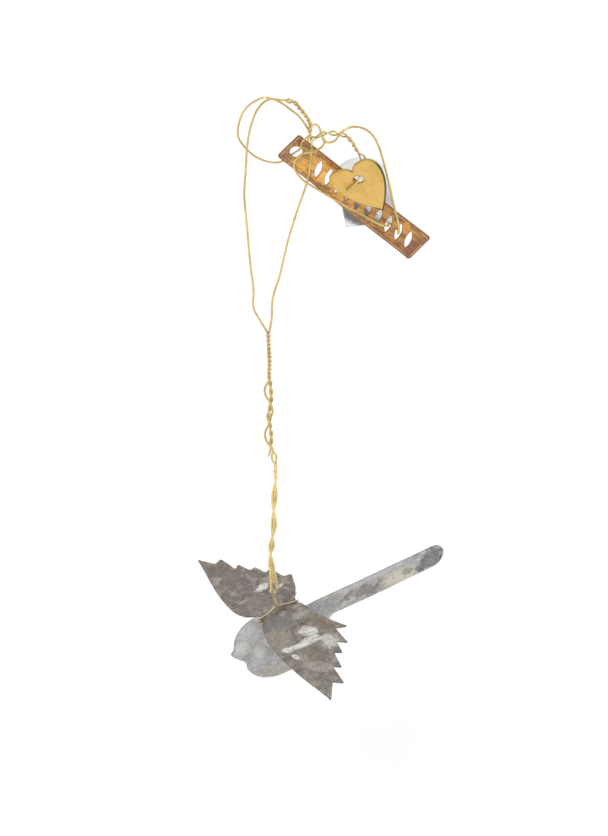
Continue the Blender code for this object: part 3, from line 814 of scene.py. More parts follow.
@dataclass
class Stem:
    """The twisted stem under the hanging loop: shank, open wrap and a flat band of three strands."""

    middle: Pairs = (
        (-1.4, -99.0), (-1.0, -113.0), (-1.1, -119.0), (-0.6, -124.0), (-0.5, -129.0), (-1.0, -133.0),
        (-1.5, -136.5), (-0.9, -140.3), (-0.5, -145.0), (-0.6, -149.0), (-0.2, -153.0), (0.8, -163.0),
        (0.3, -174.0), (0.1, -187.0), (-0.8, -199.0), (-0.4, -207.0))
    middle_step: float = 0.5
    shank_twist: Pairs = ((-99.0, 0.0), (-120.0, 2095.2), (-157.0, 3888.0))
    band_twist: Pairs = (
        (-157.0, 48.0), (-166.1, 90.0), (-178.8, 270.0), (-190.8, 450.0), (-198.3, 630.0), (-206.0, 753.6))
    shank_top: float = -99.0
    shank_foot: float = -154.0
    band_top: float = -157.0
    band_foot: float = -206.0
    wrap_top: float = -122.0
    wrap_pitch: float = 19.5
    wrap_blend: float = 7.0
    wrap_bulge: float = 0.95
    pair_radius: float = 0.37
    wrap_radius: float = 1.12
    band_radius: float = 0.7
    short_foot: float = -151.0
    short_end: Pairs = ((-0.75, -0.35, -1.3), (-1.0, -0.6, -2.6))
    step: float = 0.24

    def heights(self, top: float, foot: float) -> Array:
        """Heights from top to foot at about even steps."""
        return np.linspace(top, foot, int(round((top - foot) / self.step)) + 1)

    def axis(self, z: Array) -> Array:
        """Points of the stem's middle at given heights."""
        line = bend(self.middle_step, self.middle)
        return np.stack([np.interp(-z, -line[:, 1], line[:, 0]), np.zeros_like(z), z], axis=1)

    def twist(self, knots: Pairs, z: Array | float) -> Array:
        """Angle at given heights, in straight steps between (height, degrees) knots."""
        height, degrees = np.transpose(knots)
        return np.radians(np.interp(-z, -height, degrees))

    def drop_angle(self, z: Array) -> Array:
        """Angle of the second wire: an open wrap, then one edge of the band."""
        open_wrap = 2 * np.pi * np.maximum(z - self.band_top, 0.0) / self.wrap_pitch
        return self.twist(self.band_twist, np.minimum(z, self.band_top)) - open_wrap

    def drop_reach(self, z: Array) -> Array:
        """Radius of the second wire: bulging to one side, then drawn in to the band.

        Args:
            z: Heights.

        Returns:
            The radius at each height.
        """
        bulge = self.wrap_bulge * np.maximum(-np.cos(self.drop_angle(z)), 0.0) ** 2
        t = ease((self.shank_foot - z) / self.wrap_blend)
        return (self.wrap_radius + bulge) * (1 - t) + self.band_radius * t

    def strand(self, z: Array, reach: Array | float, angle: Array | float) -> Array:
        """One strand down the stem: axis(z) + reach (cos angle, sin angle, 0)."""
        off = np.broadcast_arrays(reach * np.cos(angle), reach * np.sin(angle), np.zeros_like(z))
        return self.axis(z) + np.stack(off, axis=1)


@dataclass
class Hanger:
    """All the brass wires that stay with the hanging loop."""

    finish: Material
    stem: Stem = field(default_factory=Stem)
    wire: float = 0.72
    ring_wire: float = 0.66
    charm_wire: float = 0.58
    step: float = 0.6
    end_step: float = 0.4
    eye_radius: float = 1.1
    eye_neck: float = 3.2
    eye_waist: float = 0.95
    eye_points: int = 13
    third_foot: float = -205.0
    third_end: Point = (0.0, 0.0, 4.0)
    drop_end: float = -160.0
    loop_left: Pairs = (
        (-4.4, -93.0), (-5.8, -89.6), (-6.2, -86.4), (-6.0, -82.6), (-6.2, -77.5), (-6.8, -71.7),
        (-8.05, -52.0), (-8.75, -39.5), (-8.15, -28.0), (-7.8, -20.0), (-6.7, -11.6), (-4.5, -4.0),
        (-2.1, -0.6))
    loop_right: Pairs = (
        (2.4, -0.9), (5.6, -3.9), (8.2, -6.7), (10.4, -10.5), (11.9, -14.5), (12.3, -19.0), (11.9, -27.0),
        (11.0, -34.0), (8.0, -46.0), (5.1, -58.5), (2.8, -71.7), (2.1, -75.5), (0.4, -82.4), (-0.1, -86.5),
        (-0.3, -93.0))
    pigtail: Pairs = (
        (11.9, -1.3, -11.9), (11.6, -1.3, -8.3), (10.2, -1.3, -5.0), (8.7, -1.3, -2.6), (6.9, -1.3, 0.1),
        (4.4, -1.3, 1.0))
    pigtail_step: float = 0.2
    pigtail_turns: float = 4.6
    pigtail_gather: float = 0.8
    pigtail_slack: float = 0.16
    pigtail_open: Flat = (-1.4, 1.0)
    ring: Pairs = (
        (0.0, -1.3, 1.7), (-2.4, -1.1, 2.0), (-6.1, -0.7, -0.6), (-8.45, -0.2, -4.0), (-9.85, 0.2, -8.1),
        (-10.65, 0.7, -13.3), (-10.35, 1.1, -17.2), (-9.0, 1.3, -20.1), (-7.4, 1.3, -22.5),
        (-5.0, 1.8, -25.6), (-0.4, 2.9, -28.8), (2.9, 3.9, -29.4), (5.6, 4.5, -27.4), (7.4, 3.4, -24.9),
        (8.9, 2.0, -22.0), (9.4, 0.8, -18.4), (10.9, -0.7, -14.9), (11.8, -1.3, -13.3))
    slot_start: Pairs = (
        (11.96, -2.75, -10.1), (12.5, -2.45, -8.4), (13.5, -1.8, -8.6), (14.3, -1.6, -9.4),
        (15.0, -1.8, -11.2), (15.4, -2.2, -12.9), (16.3, -2.1, -15.0), (15.5, -1.8, -18.0),
        (13.4, -1.5, -20.0), (9.2, -0.6, -22.2), (6.9, 0.0, -26.4), (7.1, -0.4, -28.7), (9.3, -1.3, -32.1),
        (14.9, -1.9, -36.5), (21.2, -2.7, -40.8), (27.5, -3.7, -44.5), (34.2, -4.7, -48.4))
    slot_end: Pairs = (
        (39.6, -4.6, -48.8), (38.0, -3.9, -40.8), (36.4, -2.8, -32.1), (34.6, -2.2, -23.3),
        (33.0, -2.0, -17.1), (30.8, -1.9, -12.4), (27.8, -1.9, -9.9), (24.7, -2.1, -9.4),
        (21.6, -2.7, -11.0), (19.9, -2.4, -14.4), (18.5, -2.0, -15.9), (17.05, -1.6, -16.3),
        (16.1, -1.0, -16.0), (15.6, -0.8, -15.4))
    slot_leaves: tuple[int, int] = (2, 1)
    slot_stand: Flat = (1.19, 1.04)
    charm_pair: Pairs = (
        (13.6, -0.2, -15.7), (16.5, -0.5, -13.4), (19.6, -0.9, -13.2), (22.7, -1.2, -13.9),
        (24.7, -1.3, -16.3), (26.0, -1.4, -19.1), (26.8, -1.5, -20.6))
    charm_step: float = 0.25
    charm_turns: float = 3.0
    charm_gather: float = 1.5
    charm_gap: float = 0.04
    charm_slack: float = 0.26
    charm_open: Flat = (-0.85, 1.5)
    hook: Point = (12.15, 0.0, -16.4)
    hook_gap: float = 0.3
    hook_points: int = 7
    heart_before: Pairs = ((-3.8, -0.9, -4.4), (-2.0, -0.9, -2.4), (-0.5, -0.9, -0.6))
    heart_behind: Pairs = ((0.0, 0.0, 0.0), (1.0, 1.3, 2.2), (2.0, 2.3, 7.1))
    silver_course: Pairs = (
        (-1.3, -4.4, 7.4), (-0.3, -1.3, 1.3), (0.0, 0.0, 0.0), (-0.2, 0.9, -0.7), (-0.6, 0.9, -2.6))

    def put(self, name: str, node: str, path: Array, thickness: float) -> None:
        """Make one wire along its path and let it ride on the hanger."""
        settle(wire_shape(path, thickness).put(name, self.finish), Body.HANGER, node)

    def loop(self) -> None:
        """Main wire: cut end, shank, loop over the crown, shank again and the band's middle strand."""
        stem = self.stem
        z = stem.heights(stem.shank_top, stem.short_foot)
        short = stem.strand(z, stem.pair_radius, stem.twist(stem.shank_twist, z) + np.pi)
        free = stem.axis(z[-1:]) + np.asarray(stem.short_end)
        short = joined(short, bend(stem.step, short[-1], free)[1:])
        z = stem.heights(stem.shank_top, stem.band_top)
        long = stem.strand(z, stem.pair_radius, stem.twist(stem.shank_twist, z))
        held = stem.twist(stem.shank_twist, stem.band_top)
        z = stem.heights(stem.band_top, self.third_foot)
        foot = stem.strand(z, stem.pair_radius * ease(1 - (stem.band_top - z) / stem.wrap_blend), held)
        legs = (self.loop_left, self.loop_right)
        left, right = (np.insert(np.asarray(leg), 1, 0.0, axis=1) for leg in legs)
        over = bend(self.step, short[0], left, (0.0, 0.0, self.wire / 2), right, long[0])
        tail = bend(self.step, foot[-1], np.add(LINK, self.third_end))
        path = joined(short[::-1], over[1:-1], long, foot[1:], tail[1:])
        self.put("main_wire", "loop_wire", path, self.wire)

    def drop(self) -> None:
        """Second wire: open wrap, one edge of the band, the bird's eye and the band's other edge."""
        stem = self.stem
        z = stem.heights(stem.wrap_top, stem.band_foot)
        down = stem.strand(z, stem.drop_reach(z), stem.drop_angle(z))
        z = stem.heights(self.drop_end, stem.band_foot)
        up = stem.strand(z, stem.band_radius, stem.twist(stem.band_twist, z) + np.pi)[::-1]
        ahead, above = turn_matrix(2, HEADING)[:, 0], np.array([0.0, 0.0, 1.0])
        centre = np.asarray(LINK) + above * self.eye_radius
        a = np.linspace(0, np.pi, self.eye_points)[:, None]
        bowl = centre - (ahead * np.cos(a) + above * np.sin(a)) * self.eye_radius
        waist, neck = ahead * self.eye_waist * self.eye_radius, above * self.eye_neck
        eye = bend(self.end_step, down[-1], centre - waist + neck, bowl, centre + waist + neck, up[0])
        self.put("second_wire", "drop_wire", joined(down[:-1], eye, up[1:]), self.wire)

    def tag_ring(self) -> None:
        """Ring through the tag's hole, its two ends twisted into a pigtail."""
        axis = bend(self.pigtail_step, self.pigtail)
        loose = self.wire / 2 + self.pigtail_slack * ease(np.linspace(*self.pigtail_open, len(axis)))
        first, second = pair_about(axis, loose, self.pigtail_turns, TO_FRONT, self.pigtail_gather)
        around = bend(self.step, second[-1], self.ring, first[0])
        self.put("ring_wire", "tag_ring_wire", joined(second, around[1:-1], first), self.ring_wire)

    def slot_loop(self, tag: LongTag) -> None:
        """Wire round the tag's end and through two neighbouring slots.

        Args:
            tag: The tag that it goes through.
        """
        front, back = self.slot_stand
        stands = ((front, 0.0, -back), (-back, 0.0, front))
        through = [tag.on_face(tag.leaf_at(leaf), 0.0, out) for leaf, out in zip(self.slot_leaves, stands)]
        path = bend(self.step, self.slot_start, *through, self.slot_end)
        self.put("slot_wire", "tag_loop_wire", path, self.wire)

    def charms(self) -> None:
        """Doubled wire hooked on the loop, one end through the heart and one through the bright tag."""
        axis = bend(self.charm_step, self.charm_pair)
        slack = self.charm_slack * ease(1.0 - np.abs(np.linspace(*self.charm_open, len(axis))))
        reach = self.charm_wire / 2 + self.charm_gap + slack
        front, back = pair_about(axis, reach, self.charm_turns, TO_FRONT, self.charm_gather)
        a = np.linspace(0, np.pi, self.hook_points)[:, None]
        clear = (self.wire + self.charm_wire) / 2 + self.hook_gap
        hook = np.asarray(self.hook) - clear * np.hstack([np.sin(a), np.cos(a), 0 * a])
        to_heart = joined(self.heart_before, self.heart_behind) + np.asarray(HEART_HOLE)
        to_silver = np.asarray(self.silver_course) + np.asarray(SILVER_HOLE)
        path = joined(
            bend(self.end_step, to_heart, front[-1])[:-1], front[::-1],
            bend(self.charm_step, front[0], hook, back[0])[1:-1], back,
            bend(self.end_step, back[-1], to_silver)[1:])
        self.put("charm_wire", "heart_wire", path, self.charm_wire)


@dataclass
class Bird:
    """The zinc bird in its own frame: x to the beak, y to its left wing, z up, from the link."""

    body_finish: Material
    wing_finish: Material
    tie_finish: Material
    sheet: float = 0.8
    edge: float = 0.13
    fit_gap: float = 0.3
    head_centre: Flat = (9.8, -6.2)
    head_radius: float = 8.3
    head_end: float = -5.0
    beak_top: Flat = (18.0, -7.6)
    beak_tip: Flat = (19.4, -9.8)
    beak_handle: Flat = (17.4, -12.9)
    chin: Flat = (14.7, -15.0)
    throat_handle: Flat = (13.3, -16.6)
    belly_centre: Flat = (-2.1, -12.9)
    belly_radius: float = 16.7
    belly_front: float = -26.0
    belly_rear: float = -173.0
    rump: float = -19.4
    tail_start: float = -22.0
    tail_low: float = -12.6
    tail_high: float = -3.4
    tail_end: float = -64.3
    seat_front: float = 8.55
    seat_rear: float = -7.6
    seat_foot: float = -9.6
    seat_inset: float = 0.01
    end_runs: int = 20
    head_runs: int = 40
    belly_runs: int = 60
    rump_runs: int = 12
    throat_runs: int = 10
    body_columns: int = 170
    body_rows: int = 25
    body_inset: float = 0.03
    column_gap: float = 0.004
    body_waves: Pairs = ((0.1, 0.11, 0.05, 0.4), (0.06, 0.23, -0.19, 1.3), (0.03, 0.6, 0.4, 2.0))
    body_still: float = 9.0
    wave_blend: float = 8.0
    hole: Flat = (0.0, -4.2)
    hole_radius: float = 1.2
    hole_rows: int = 5
    near_front: Pairs = ((9.3, 3.0), (10.4, 7.5), (10.6, 13.0), (10.2, 20.0), (9.4, 27.0), (7.0, 38.6))
    near_rear: Pairs = (
        (-8.9, 5.4), (-11.6, 9.6), (-15.5, 15.7), (-11.6, 14.5), (-11.5, 21.7), (-8.7, 19.4), (-7.5, 24.4),
        (-5.2, 22.9), (-3.7, 29.4), (-1.4, 27.5), (-0.6, 35.0), (2.3, 32.9))
    far_front: Pairs = ((10.0, 2.8), (11.1, 6.5), (11.4, 12.5), (10.6, 20.0), (9.0, 27.2), (5.8, 38.9))
    far_rear: Pairs = (
        (-8.4, 3.6), (-11.6, 7.9), (-14.5, 14.3), (-11.6, 14.8), (-10.5, 20.7), (-7.9, 19.8), (-6.5, 24.3),
        (-4.4, 23.4), (-2.9, 28.6), (-0.8, 26.9), (-0.1, 34.4), (2.8, 33.4))
    wing_root: Flat = (7.6, -6.6)
    wing_nick: float = 1.3
    wing_step: float = 0.5
    tooth_soft: Flat = (0.95, 0.35)
    wing_section: Pairs = (
        (0.0, 0.0), (2.2, 0.9), (5.0, -0.5), (10.0, -2.4), (16.0, -3.2), (25.0, -3.7), (33.0, -4.4),
        (38.8, -5.3))
    section_step: float = 0.4
    wing_yaw: float = 1.5
    wing_slant: float = 1.0
    wing_columns: int = 120
    wing_rows: int = 15
    wing_inset: float = 0.02
    wing_still: float = 4.0
    tie_wire: float = 0.5
    tie_gap: float = 0.02
    tie_eye: float = 1.0
    tie_arc: tuple[float, float, int] = (-62.0, 242.0, 21)
    tie_neck: float = 1.3
    tie_turns: float = 2.5
    tie_points: int = 40
    tie_steps: Flat = (0.2, 0.35)
    tie_knot: Point = (1.36, 0.0, 3.3)
    tie_legs: Pairs = (
        (4.6, 0.0, 1.65), (7.0, 0.0, 1.15), (8.05, 0.0, 0.6), (8.05, 0.6, -0.1), (7.3, 1.0, -0.85),
        (4.2, 1.0, -2.3), (0.7, 1.0, -4.1), (0.0, 0.0, -4.2), (-0.7, -1.0, -4.3), (-4.4, -1.0, -3.0),
        (-7.0, -1.0, -1.2), (-7.2, -0.7, 0.1), (-7.0, -0.15, 0.85), (-5.9, 0.0, 1.15), (-3.0, 0.0, 1.85))

    def world(self, p: Array) -> Array:
        """Points of the bird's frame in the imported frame."""
        return p @ turn_matrix(2, HEADING).T + np.asarray(LINK)

    def body_edges(self) -> tuple[Array, Array]:
        """Upper and lower edge of the body sheet from the tail's end to the beak, from the wing root.

        Returns:
            Upper and lower line as (x, z), x growing.
        """
        floor = -(self.sheet / 2 + self.fit_gap)
        half = (self.tail_high - self.tail_low) / 2
        end = (self.tail_end + half, self.tail_low + half)
        seat = 180 - np.degrees(np.arccos((self.head_centre[0] - self.seat_front) / self.head_radius))
        belly = arc(self.belly_centre, self.belly_radius, self.belly_rear, self.belly_front, self.belly_runs)
        upper = joined(
            arc(end, half, 180, 90, self.end_runs), (self.seat_foot, self.tail_high), (self.seat_rear, floor),
            (self.seat_front - self.seat_inset, floor),
            arc(self.head_centre, self.head_radius, seat, self.head_end, self.head_runs),
            self.beak_top, self.beak_tip)
        lower = joined(
            arc(end, half, 180, 270, self.end_runs),
            bow((self.tail_start, self.tail_low), (self.rump, self.tail_low), belly[0], self.rump_runs),
            belly[1:], bow(belly[-1], self.throat_handle, self.chin, self.throat_runs)[1:],
            bow(self.chin, self.beak_handle, self.beak_tip, self.throat_runs)[1:])
        return upper, lower

    def body(self) -> None:
        """Body sheet: low(x) + t (high(x) - low(x)) over columns x and the share t, round the tie's hole."""
        upper, lower = self.body_edges()
        start, stop = self.tail_end + self.body_inset, self.beak_tip[0] - self.body_inset
        x = np.concatenate([np.linspace(start, stop, self.body_columns), upper[:, 0], lower[:, 0]])
        x = np.unique(x.clip(start, stop))
        x = x[np.concatenate([[True], np.diff(x) > self.column_gap])]
        low, high = (np.interp(x, np.maximum.accumulate(e[:, 0]), e[:, 1])[:, None] for e in (lower, upper))
        rows, radius, hole = self.body_rows, self.hole_radius, np.asarray(self.hole)
        t = np.linspace(0, 1, rows)[None, :]
        grid = np.stack(np.broadcast_arrays(x[:, None], low + (high - low) * t), -1)
        across = np.flatnonzero(np.abs(x - hole[0]) < 2 * radius)
        up = np.flatnonzero(np.abs(grid[across, :, 1] - hole[1]).min(axis=0) < 2 * radius)
        i0, i1, j0, j1 = across[0], across[-1], up[0], up[-1]
        around = joined(grid[i0:i1, j0], grid[i1, j0:j1], grid[i1:i0:-1, j1], grid[i0, j1:j0:-1])
        patch, ring = ring_between(hole + unit(around - hole) * radius, around, self.hole_rows)
        faces = grid_faces(len(x), rows)
        column, row = faces[:, 0] // rows, faces[:, 0] % rows
        kept = faces[(column < i0) | (column >= i1) | (row < j0) | (row >= j1)]
        flat = joined(grid.reshape(-1, 2), patch)
        wave = ripple(flat, self.body_waves) * ease((np.abs(flat[:, 0]) - self.body_still) / self.wave_blend)
        p = np.stack([flat[:, 0], wave, flat[:, 1]], axis=1) + np.asarray(ROOT)
        to_hole = np.abs(np.linalg.norm(flat - hole, axis=1) - radius)
        rim = np.minimum(to_outline(flat, joined(upper, lower[::-1])), to_hole)
        every = np.vstack([kept, ring + len(x) * rows])
        obj = Shape(self.world(p), every.tolist(), {"rim": rim}).welded().put("bird_sheet", self.body_finish)
        thicken(obj, self.sheet, self.edge)
        settle(obj, Body.BIRD, "body_plate")

    def wing_lines(self, side: float) -> tuple[Array, Array]:
        """Front and rear edge of one wing as (forward, sideways) from the root to the tip.

        Args:
            side: 1 for the left wing and -1 for the right one.

        Returns:
            Both edges.
        """
        lead, trail = (self.near_front, self.near_rear) if side > 0 else (self.far_front, self.far_rear)
        nick, back = self.wing_root
        front = joined((back, 0.0), (nick, 0.0), bend(self.wing_step, (nick, self.wing_nick), lead))
        teeth = joined((back, self.wing_nick), trail, lead[-1])
        return front, joined((back, 0.0), softened(teeth, self.tooth_soft[side > 0]))

    def wing_height(self, y: Array) -> Array:
        """Height of the wing sheet across its span: a pressed valley, a crest, then a droop."""
        line = bend(self.section_step, self.wing_section)
        return np.interp(np.abs(y), line[:, 0], line[:, 1])

    def wing(self, side: float) -> Shape:
        """One wing: slanted lines of constant y + slant x, from the toothed rear edge to the front edge.

        Args:
            side: 1 for the left wing and -1 for the right one.

        Returns:
            The wing's middle surface in the bird's frame.
        """
        front, rear = self.wing_lines(side)
        slant = np.array([self.wing_slant, 1.0])
        fw, rw = np.maximum.accumulate(front @ slant), np.maximum.accumulate(rear @ slant)
        start, stop = fw[0] + self.wing_inset, fw[-1] - self.wing_inset
        w = np.unique(np.concatenate([np.linspace(start, stop, self.wing_columns), rw]).clip(start, stop))
        ahead, behind = np.interp(w, fw, front[:, 0])[:, None], np.interp(w, rw, rear[:, 0])[:, None]
        x = behind + (ahead - behind) * np.linspace(0, 1, self.wing_rows)[None, :]
        y = np.maximum(w[:, None] - self.wing_slant * x, 0.0)
        flat = np.stack([x, y], axis=-1).reshape(-1, 2)
        waves = ((0.12, 0.2, 0.09, 0.7 + side), (0.07, -0.31, 0.22, 1.9), (0.03, 0.7, 0.5, side))
        wave = ripple(flat, waves) * ease((flat[:, 1] - self.wing_still) / self.wave_blend)
        z = self.wing_height(flat[:, 1]) + wave
        rim = to_outline(flat, joined(front[1:], rear[:0:-1]))
        points = np.stack([flat[:, 0], side * flat[:, 1], z], axis=1)
        faces = grid_faces(len(w), self.wing_rows)
        return Shape(points, (faces if side > 0 else faces[:, ::-1]).tolist(), {"rim": rim})

    def wings(self) -> None:
        """Both wings as one bent sheet, joined along the root."""
        left, right = self.wing(1.0), self.wing(-1.0)
        faces = left.faces + [[i + len(left.points) for i in face] for face in right.faces]
        rim = np.concatenate([left.marks["rim"], right.marks["rim"]])
        sheet = Shape(joined(left.points, right.points), faces, {"rim": rim}).welded()
        sheet.points = self.world(sheet.points @ turn_matrix(2, self.wing_yaw).T + np.asarray(ROOT))
        obj = sheet.put("wing_sheet", self.wing_finish)
        thicken(obj, self.sheet, self.edge)
        settle(obj, Body.BIRD, "wing_plate")

    def tie(self) -> None:
        """Thin wire: eye on the link, twisted neck, two legs along the root and a run through the body."""
        knot = np.asarray(self.tie_knot) + np.asarray(ROOT)
        top = np.array([0.0, 0.0, -(self.tie_eye + self.tie_neck)])
        axis = top + (knot - top) * np.linspace(0, 1, self.tie_points)[:, None]
        first, second = pair_about(axis, self.tie_wire / 2 + self.tie_gap, self.tie_turns, TO_LEFT)
        a = np.radians(np.linspace(*self.tie_arc))[:, None]
        eye = self.tie_eye * np.hstack([0 * a, -np.cos(a), np.sin(a)])
        legs = np.asarray(ROOT) + np.asarray(self.tie_legs)
        fine, coarse = self.tie_steps
        path = joined(
            bend(fine, eye, first[0])[:-1], first,
            bend(coarse, first[-1], legs, second[-1])[1:-1], second[::-1])
        obj = wire_shape(self.world(path), self.tie_wire).put("tie_wire", self.tie_finish)
        settle(obj, Body.BIRD, "wing_tie_wire")


@dataclass
class LongTag:
    """The long tag: a ring hole and a row of slanted leaf-shaped slots, in its own length and height."""

    finish: Material
    length: float = 55.5
    width: float = 10.2
    corner: float = 0.75
    corner_runs: int = 6
    sheet: float = 0.7
    edge: float = 0.1
    hole_at: Flat = (-24.3, 0.0)
    hole_radius: float = 2.0
    leaf_first: float = 22.8
    leaf_step: float = 4.2
    leaf_count: int = 10
    leaf_length: float = 6.4
    leaf_width: float = 1.9
    leaf_slant: float = 24.0
    leaf_runs: int = 16
    rows: int = 5
    cell_points: int = 2
    hole_points: int = 5
    seam_points: int = 11
    end_rows: int = 9
    end_picks: tuple[int, ...] = (0, 2, 4, 6, 9, 11, 13, 16, 18, 20, 22)
    waves: Pairs = ((0.12, 0.09, 0.1, 0.6), (0.05, 0.3, 0.5, 1.0))

    def on_face(self, s: Any, h: Any, out: Any) -> Array:
        """Points on or off the tag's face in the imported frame.

        Args:
            s: Place along the length.
            h: Height over the middle line.
            out: Distance out of the face.

        Returns:
            The points.
        """
        local = np.stack(np.broadcast_arrays(s, -np.asarray(out, float), h), -1)
        turned = turn_matrix(0, -TAG_LEAN) @ turn_matrix(1, TAG_SLOPE)
        return local @ turned.T + np.asarray(TAG_CENTRE)

    def leaf_at(self, number: float) -> float:
        """Place of a slot along the length, numbered from the right end."""
        return self.leaf_first - self.leaf_step * number

    def seam(self, at: float) -> Array:
        """The slanted line between two slots, from the lower edge to the upper one, as (s, h)."""
        h = np.linspace(-self.width / 2, self.width / 2, self.seam_points)
        return np.stack([at - np.tan(np.radians(self.leaf_slant)) * h, h], axis=1)

    def leaf(self, at: float) -> Array:
        """A slot's outline from two arcs, up its right side and down its left.

        Args:
            at: The slot's place along the length.

        Returns:
            The closed outline, without a doubled point.
        """
        half, wide = self.leaf_length / 2, self.leaf_width / 2
        radius = (half**2 + wide**2) / (2 * wide)
        reach = np.degrees(np.arcsin(half / radius))
        right = arc((wide - radius, 0), radius, -reach, reach, self.leaf_runs)
        left = arc((radius - wide, 0), radius, 180 - reach, 180 + reach, self.leaf_runs)
        turn = turn_matrix(2, self.leaf_slant)[:2, :2]
        return joined(right[:-1], left[:-1]) @ turn.T + np.array([at, 0.0])

    def slot_cell(self, at: float) -> tuple[Array, Array]:
        """The sheet around one slot, out to the seams on both sides.

        Args:
            at: The slot's place along the length.

        Returns:
            Its points and quads.
        """
        left, right = self.seam(at - self.leaf_step / 2), self.seam(at + self.leaf_step / 2)
        foot, head = (left[0] + right[0]) / 2, (left[-1] + right[-1]) / 2
        n = self.cell_points
        outer = joined(
            foot, between(foot, right[0], n), right, between(right[-1], head, n),
            head, between(head, left[-1], n), left[::-1], between(left[0], foot, n))
        return ring_between(self.leaf(at), outer, self.rows)

    def corners(self, sign: float) -> Array:
        """The rounded end of the tag from the lower edge to the upper one.

        Args:
            sign: 1 for the right end and -1 for the left one.

        Returns:
            The end's line as (s, h).
        """
        x, z, r = self.length / 2, self.width / 2, self.corner
        low = arc((x - r, r - z), r, -90, 0, self.corner_runs)
        high = arc((x - r, z - r), r, 0, 90, self.corner_runs)
        return joined(low, between(low[-1], high[0], self.end_rows), high) * np.array([sign, 1.0])

    def make(self) -> None:
        """The whole tag as one sheet: rings of quads round the slots and the hole, and a strip at the end."""
        leaves = [self.leaf_at(number) for number in range(self.leaf_count)]
        cells = [self.slot_cell(at) for at in leaves]
        right, end = self.seam(self.leaf_at(-0.5)), self.corners(1.0)[list(self.end_picks)]
        t = np.linspace(0, 1, self.end_rows)[:, None, None]
        strip = (right[None] * (1 - t) + end[None] * t).reshape(-1, 2)
        cells.append((strip, grid_faces(self.end_rows, self.seam_points)))
        seam, close = self.seam(self.leaf_at(self.leaf_count - 0.5)), self.corners(-1.0)[::-1]
        n = self.hole_points
        outer = joined(seam, between(seam[-1], close[0], n), close, between(close[-1], seam[0], n))
        middle = np.asarray(self.hole_at)
        cells.append(ring_between(middle + unit(outer - middle) * self.hole_radius, outer, self.rows))
        flat = joined(*[points for points, _ in cells])
        first = np.cumsum([0] + [len(points) for points, _ in cells])
        faces = np.vstack([quads + start for (_, quads), start in zip(cells, first)])
        rim = to_outline(flat, joined(self.corners(1.0), close))
        slot = np.min([to_outline(flat, self.leaf(at)) for at in leaves], axis=0)
        points = self.on_face(flat[:, 0], flat[:, 1], ripple(flat, self.waves))
        shape = Shape(points, faces.tolist(), {"rim": rim, "slot": slot})
        obj = shape.welded().put("long_tag", self.finish)
        thicken(obj, self.sheet, self.edge)
        settle(obj, Body.TAG, "slotted_tag")


@dataclass
class Charm:
    """A small flat charm hung by a round hole: rings carried from the hole out to the outline."""

    name: str
    node: str
    slot: str
    body: Body
    hole: Point
    tilt: float
    finish: Material
    outline: Array
    corner_angles: tuple[float, ...] = ()
    dish: float = 0.0
    dish_reach: float = 8.0
    hole_radius: float = 1.6
    sheet: float = 0.7
    edge: float = 0.14
    spokes: int = 144
    rings: int = 16
    waves: Pairs = ((0.06, 0.21, 0.15, 0.5), (0.04, -0.3, 0.33, 1.7))

    def make(self) -> None:
        """Polar sheet: hole(a) + t (outline(a) - hole(a)) over the angle a and the share t."""
        angle = np.degrees(np.arctan2(self.outline[:, 1], self.outline[:, 0])) % 360
        order = np.argsort(angle)
        reach = np.linalg.norm(self.outline, axis=1)[order]
        even = np.linspace(0, 360, self.spokes, endpoint=False)
        a = np.unique(np.concatenate([even, np.asarray(self.corner_angles) % 360]))
        r = np.interp(a, angle[order], reach, period=360)
        way = np.stack([np.cos(np.radians(a)), np.sin(np.radians(a))], axis=1)
        t = np.linspace(0, 1, self.rings)[:, None]
        flat = ((self.hole_radius * (1 - t) + r[None] * t)[..., None] * way[None]).reshape(-1, 2)
        rim = np.minimum(to_outline(flat, way * r[:, None]), np.linalg.norm(flat, axis=1) - self.hole_radius)
        out = ripple(flat, self.waves) + self.dish * (flat[:, 0] / self.dish_reach) ** 2
        local = np.stack([flat[:, 0], -out, flat[:, 1]], axis=1)
        points = local @ turn_matrix(1, -self.tilt).T + np.asarray(self.hole)
        faces = grid_faces(self.rings, len(a), closed=True)[:, ::-1]
        obj = Shape(points, faces.tolist(), {"rim": rim}).put(self.name, self.finish)
        thicken(obj, self.sheet, self.edge)
        settle(obj, self.body, self.node)


def heart_outline(half: float = 8.6, drop: float = 3.7, lobe: float = 2.7, tip: float = -19.2,
                  crest_at: float = 0.55, notch_pull: float = 0.12, flank_pull: Flat = (0.92, 0.52),
                  runs: tuple[int, int] = (40, 60)) -> Array:
    """Heart from three bows a side: notch to crest, crest to flank and flank to tip, mirrored.

    Args:
        half: Half of its width.
        drop: Height of the notch above the hole.
        lobe: Height of each crest above the notch, and depth of the flank below it.
        tip: Height of the tip below the notch.
        crest_at: Place of a crest as a share of the half width.
        notch_pull: Handle of the first bow as a share of the half width.
        flank_pull: Handle of the last bow as shares of the half width and of the tip.
        runs: Runs of each upper bow and of the last one.

    Returns:
        The closed outline from the hole, as (x, z).
    """
    crest, flank = np.array([half * crest_at, drop + lobe]), np.array([half, drop - lobe])
    handle = (half * flank_pull[0], drop + tip * flank_pull[1])
    side = joined(
        bow((0.0, drop), (half * notch_pull, crest[1]), crest, runs[0]),
        bow(crest, (half, crest[1]), flank, runs[0])[1:],
        bow(flank, handle, (0.0, drop + tip), runs[1])[1:])
    return joined(side, (side * np.array([-1.0, 1.0]))[-2:0:-1])


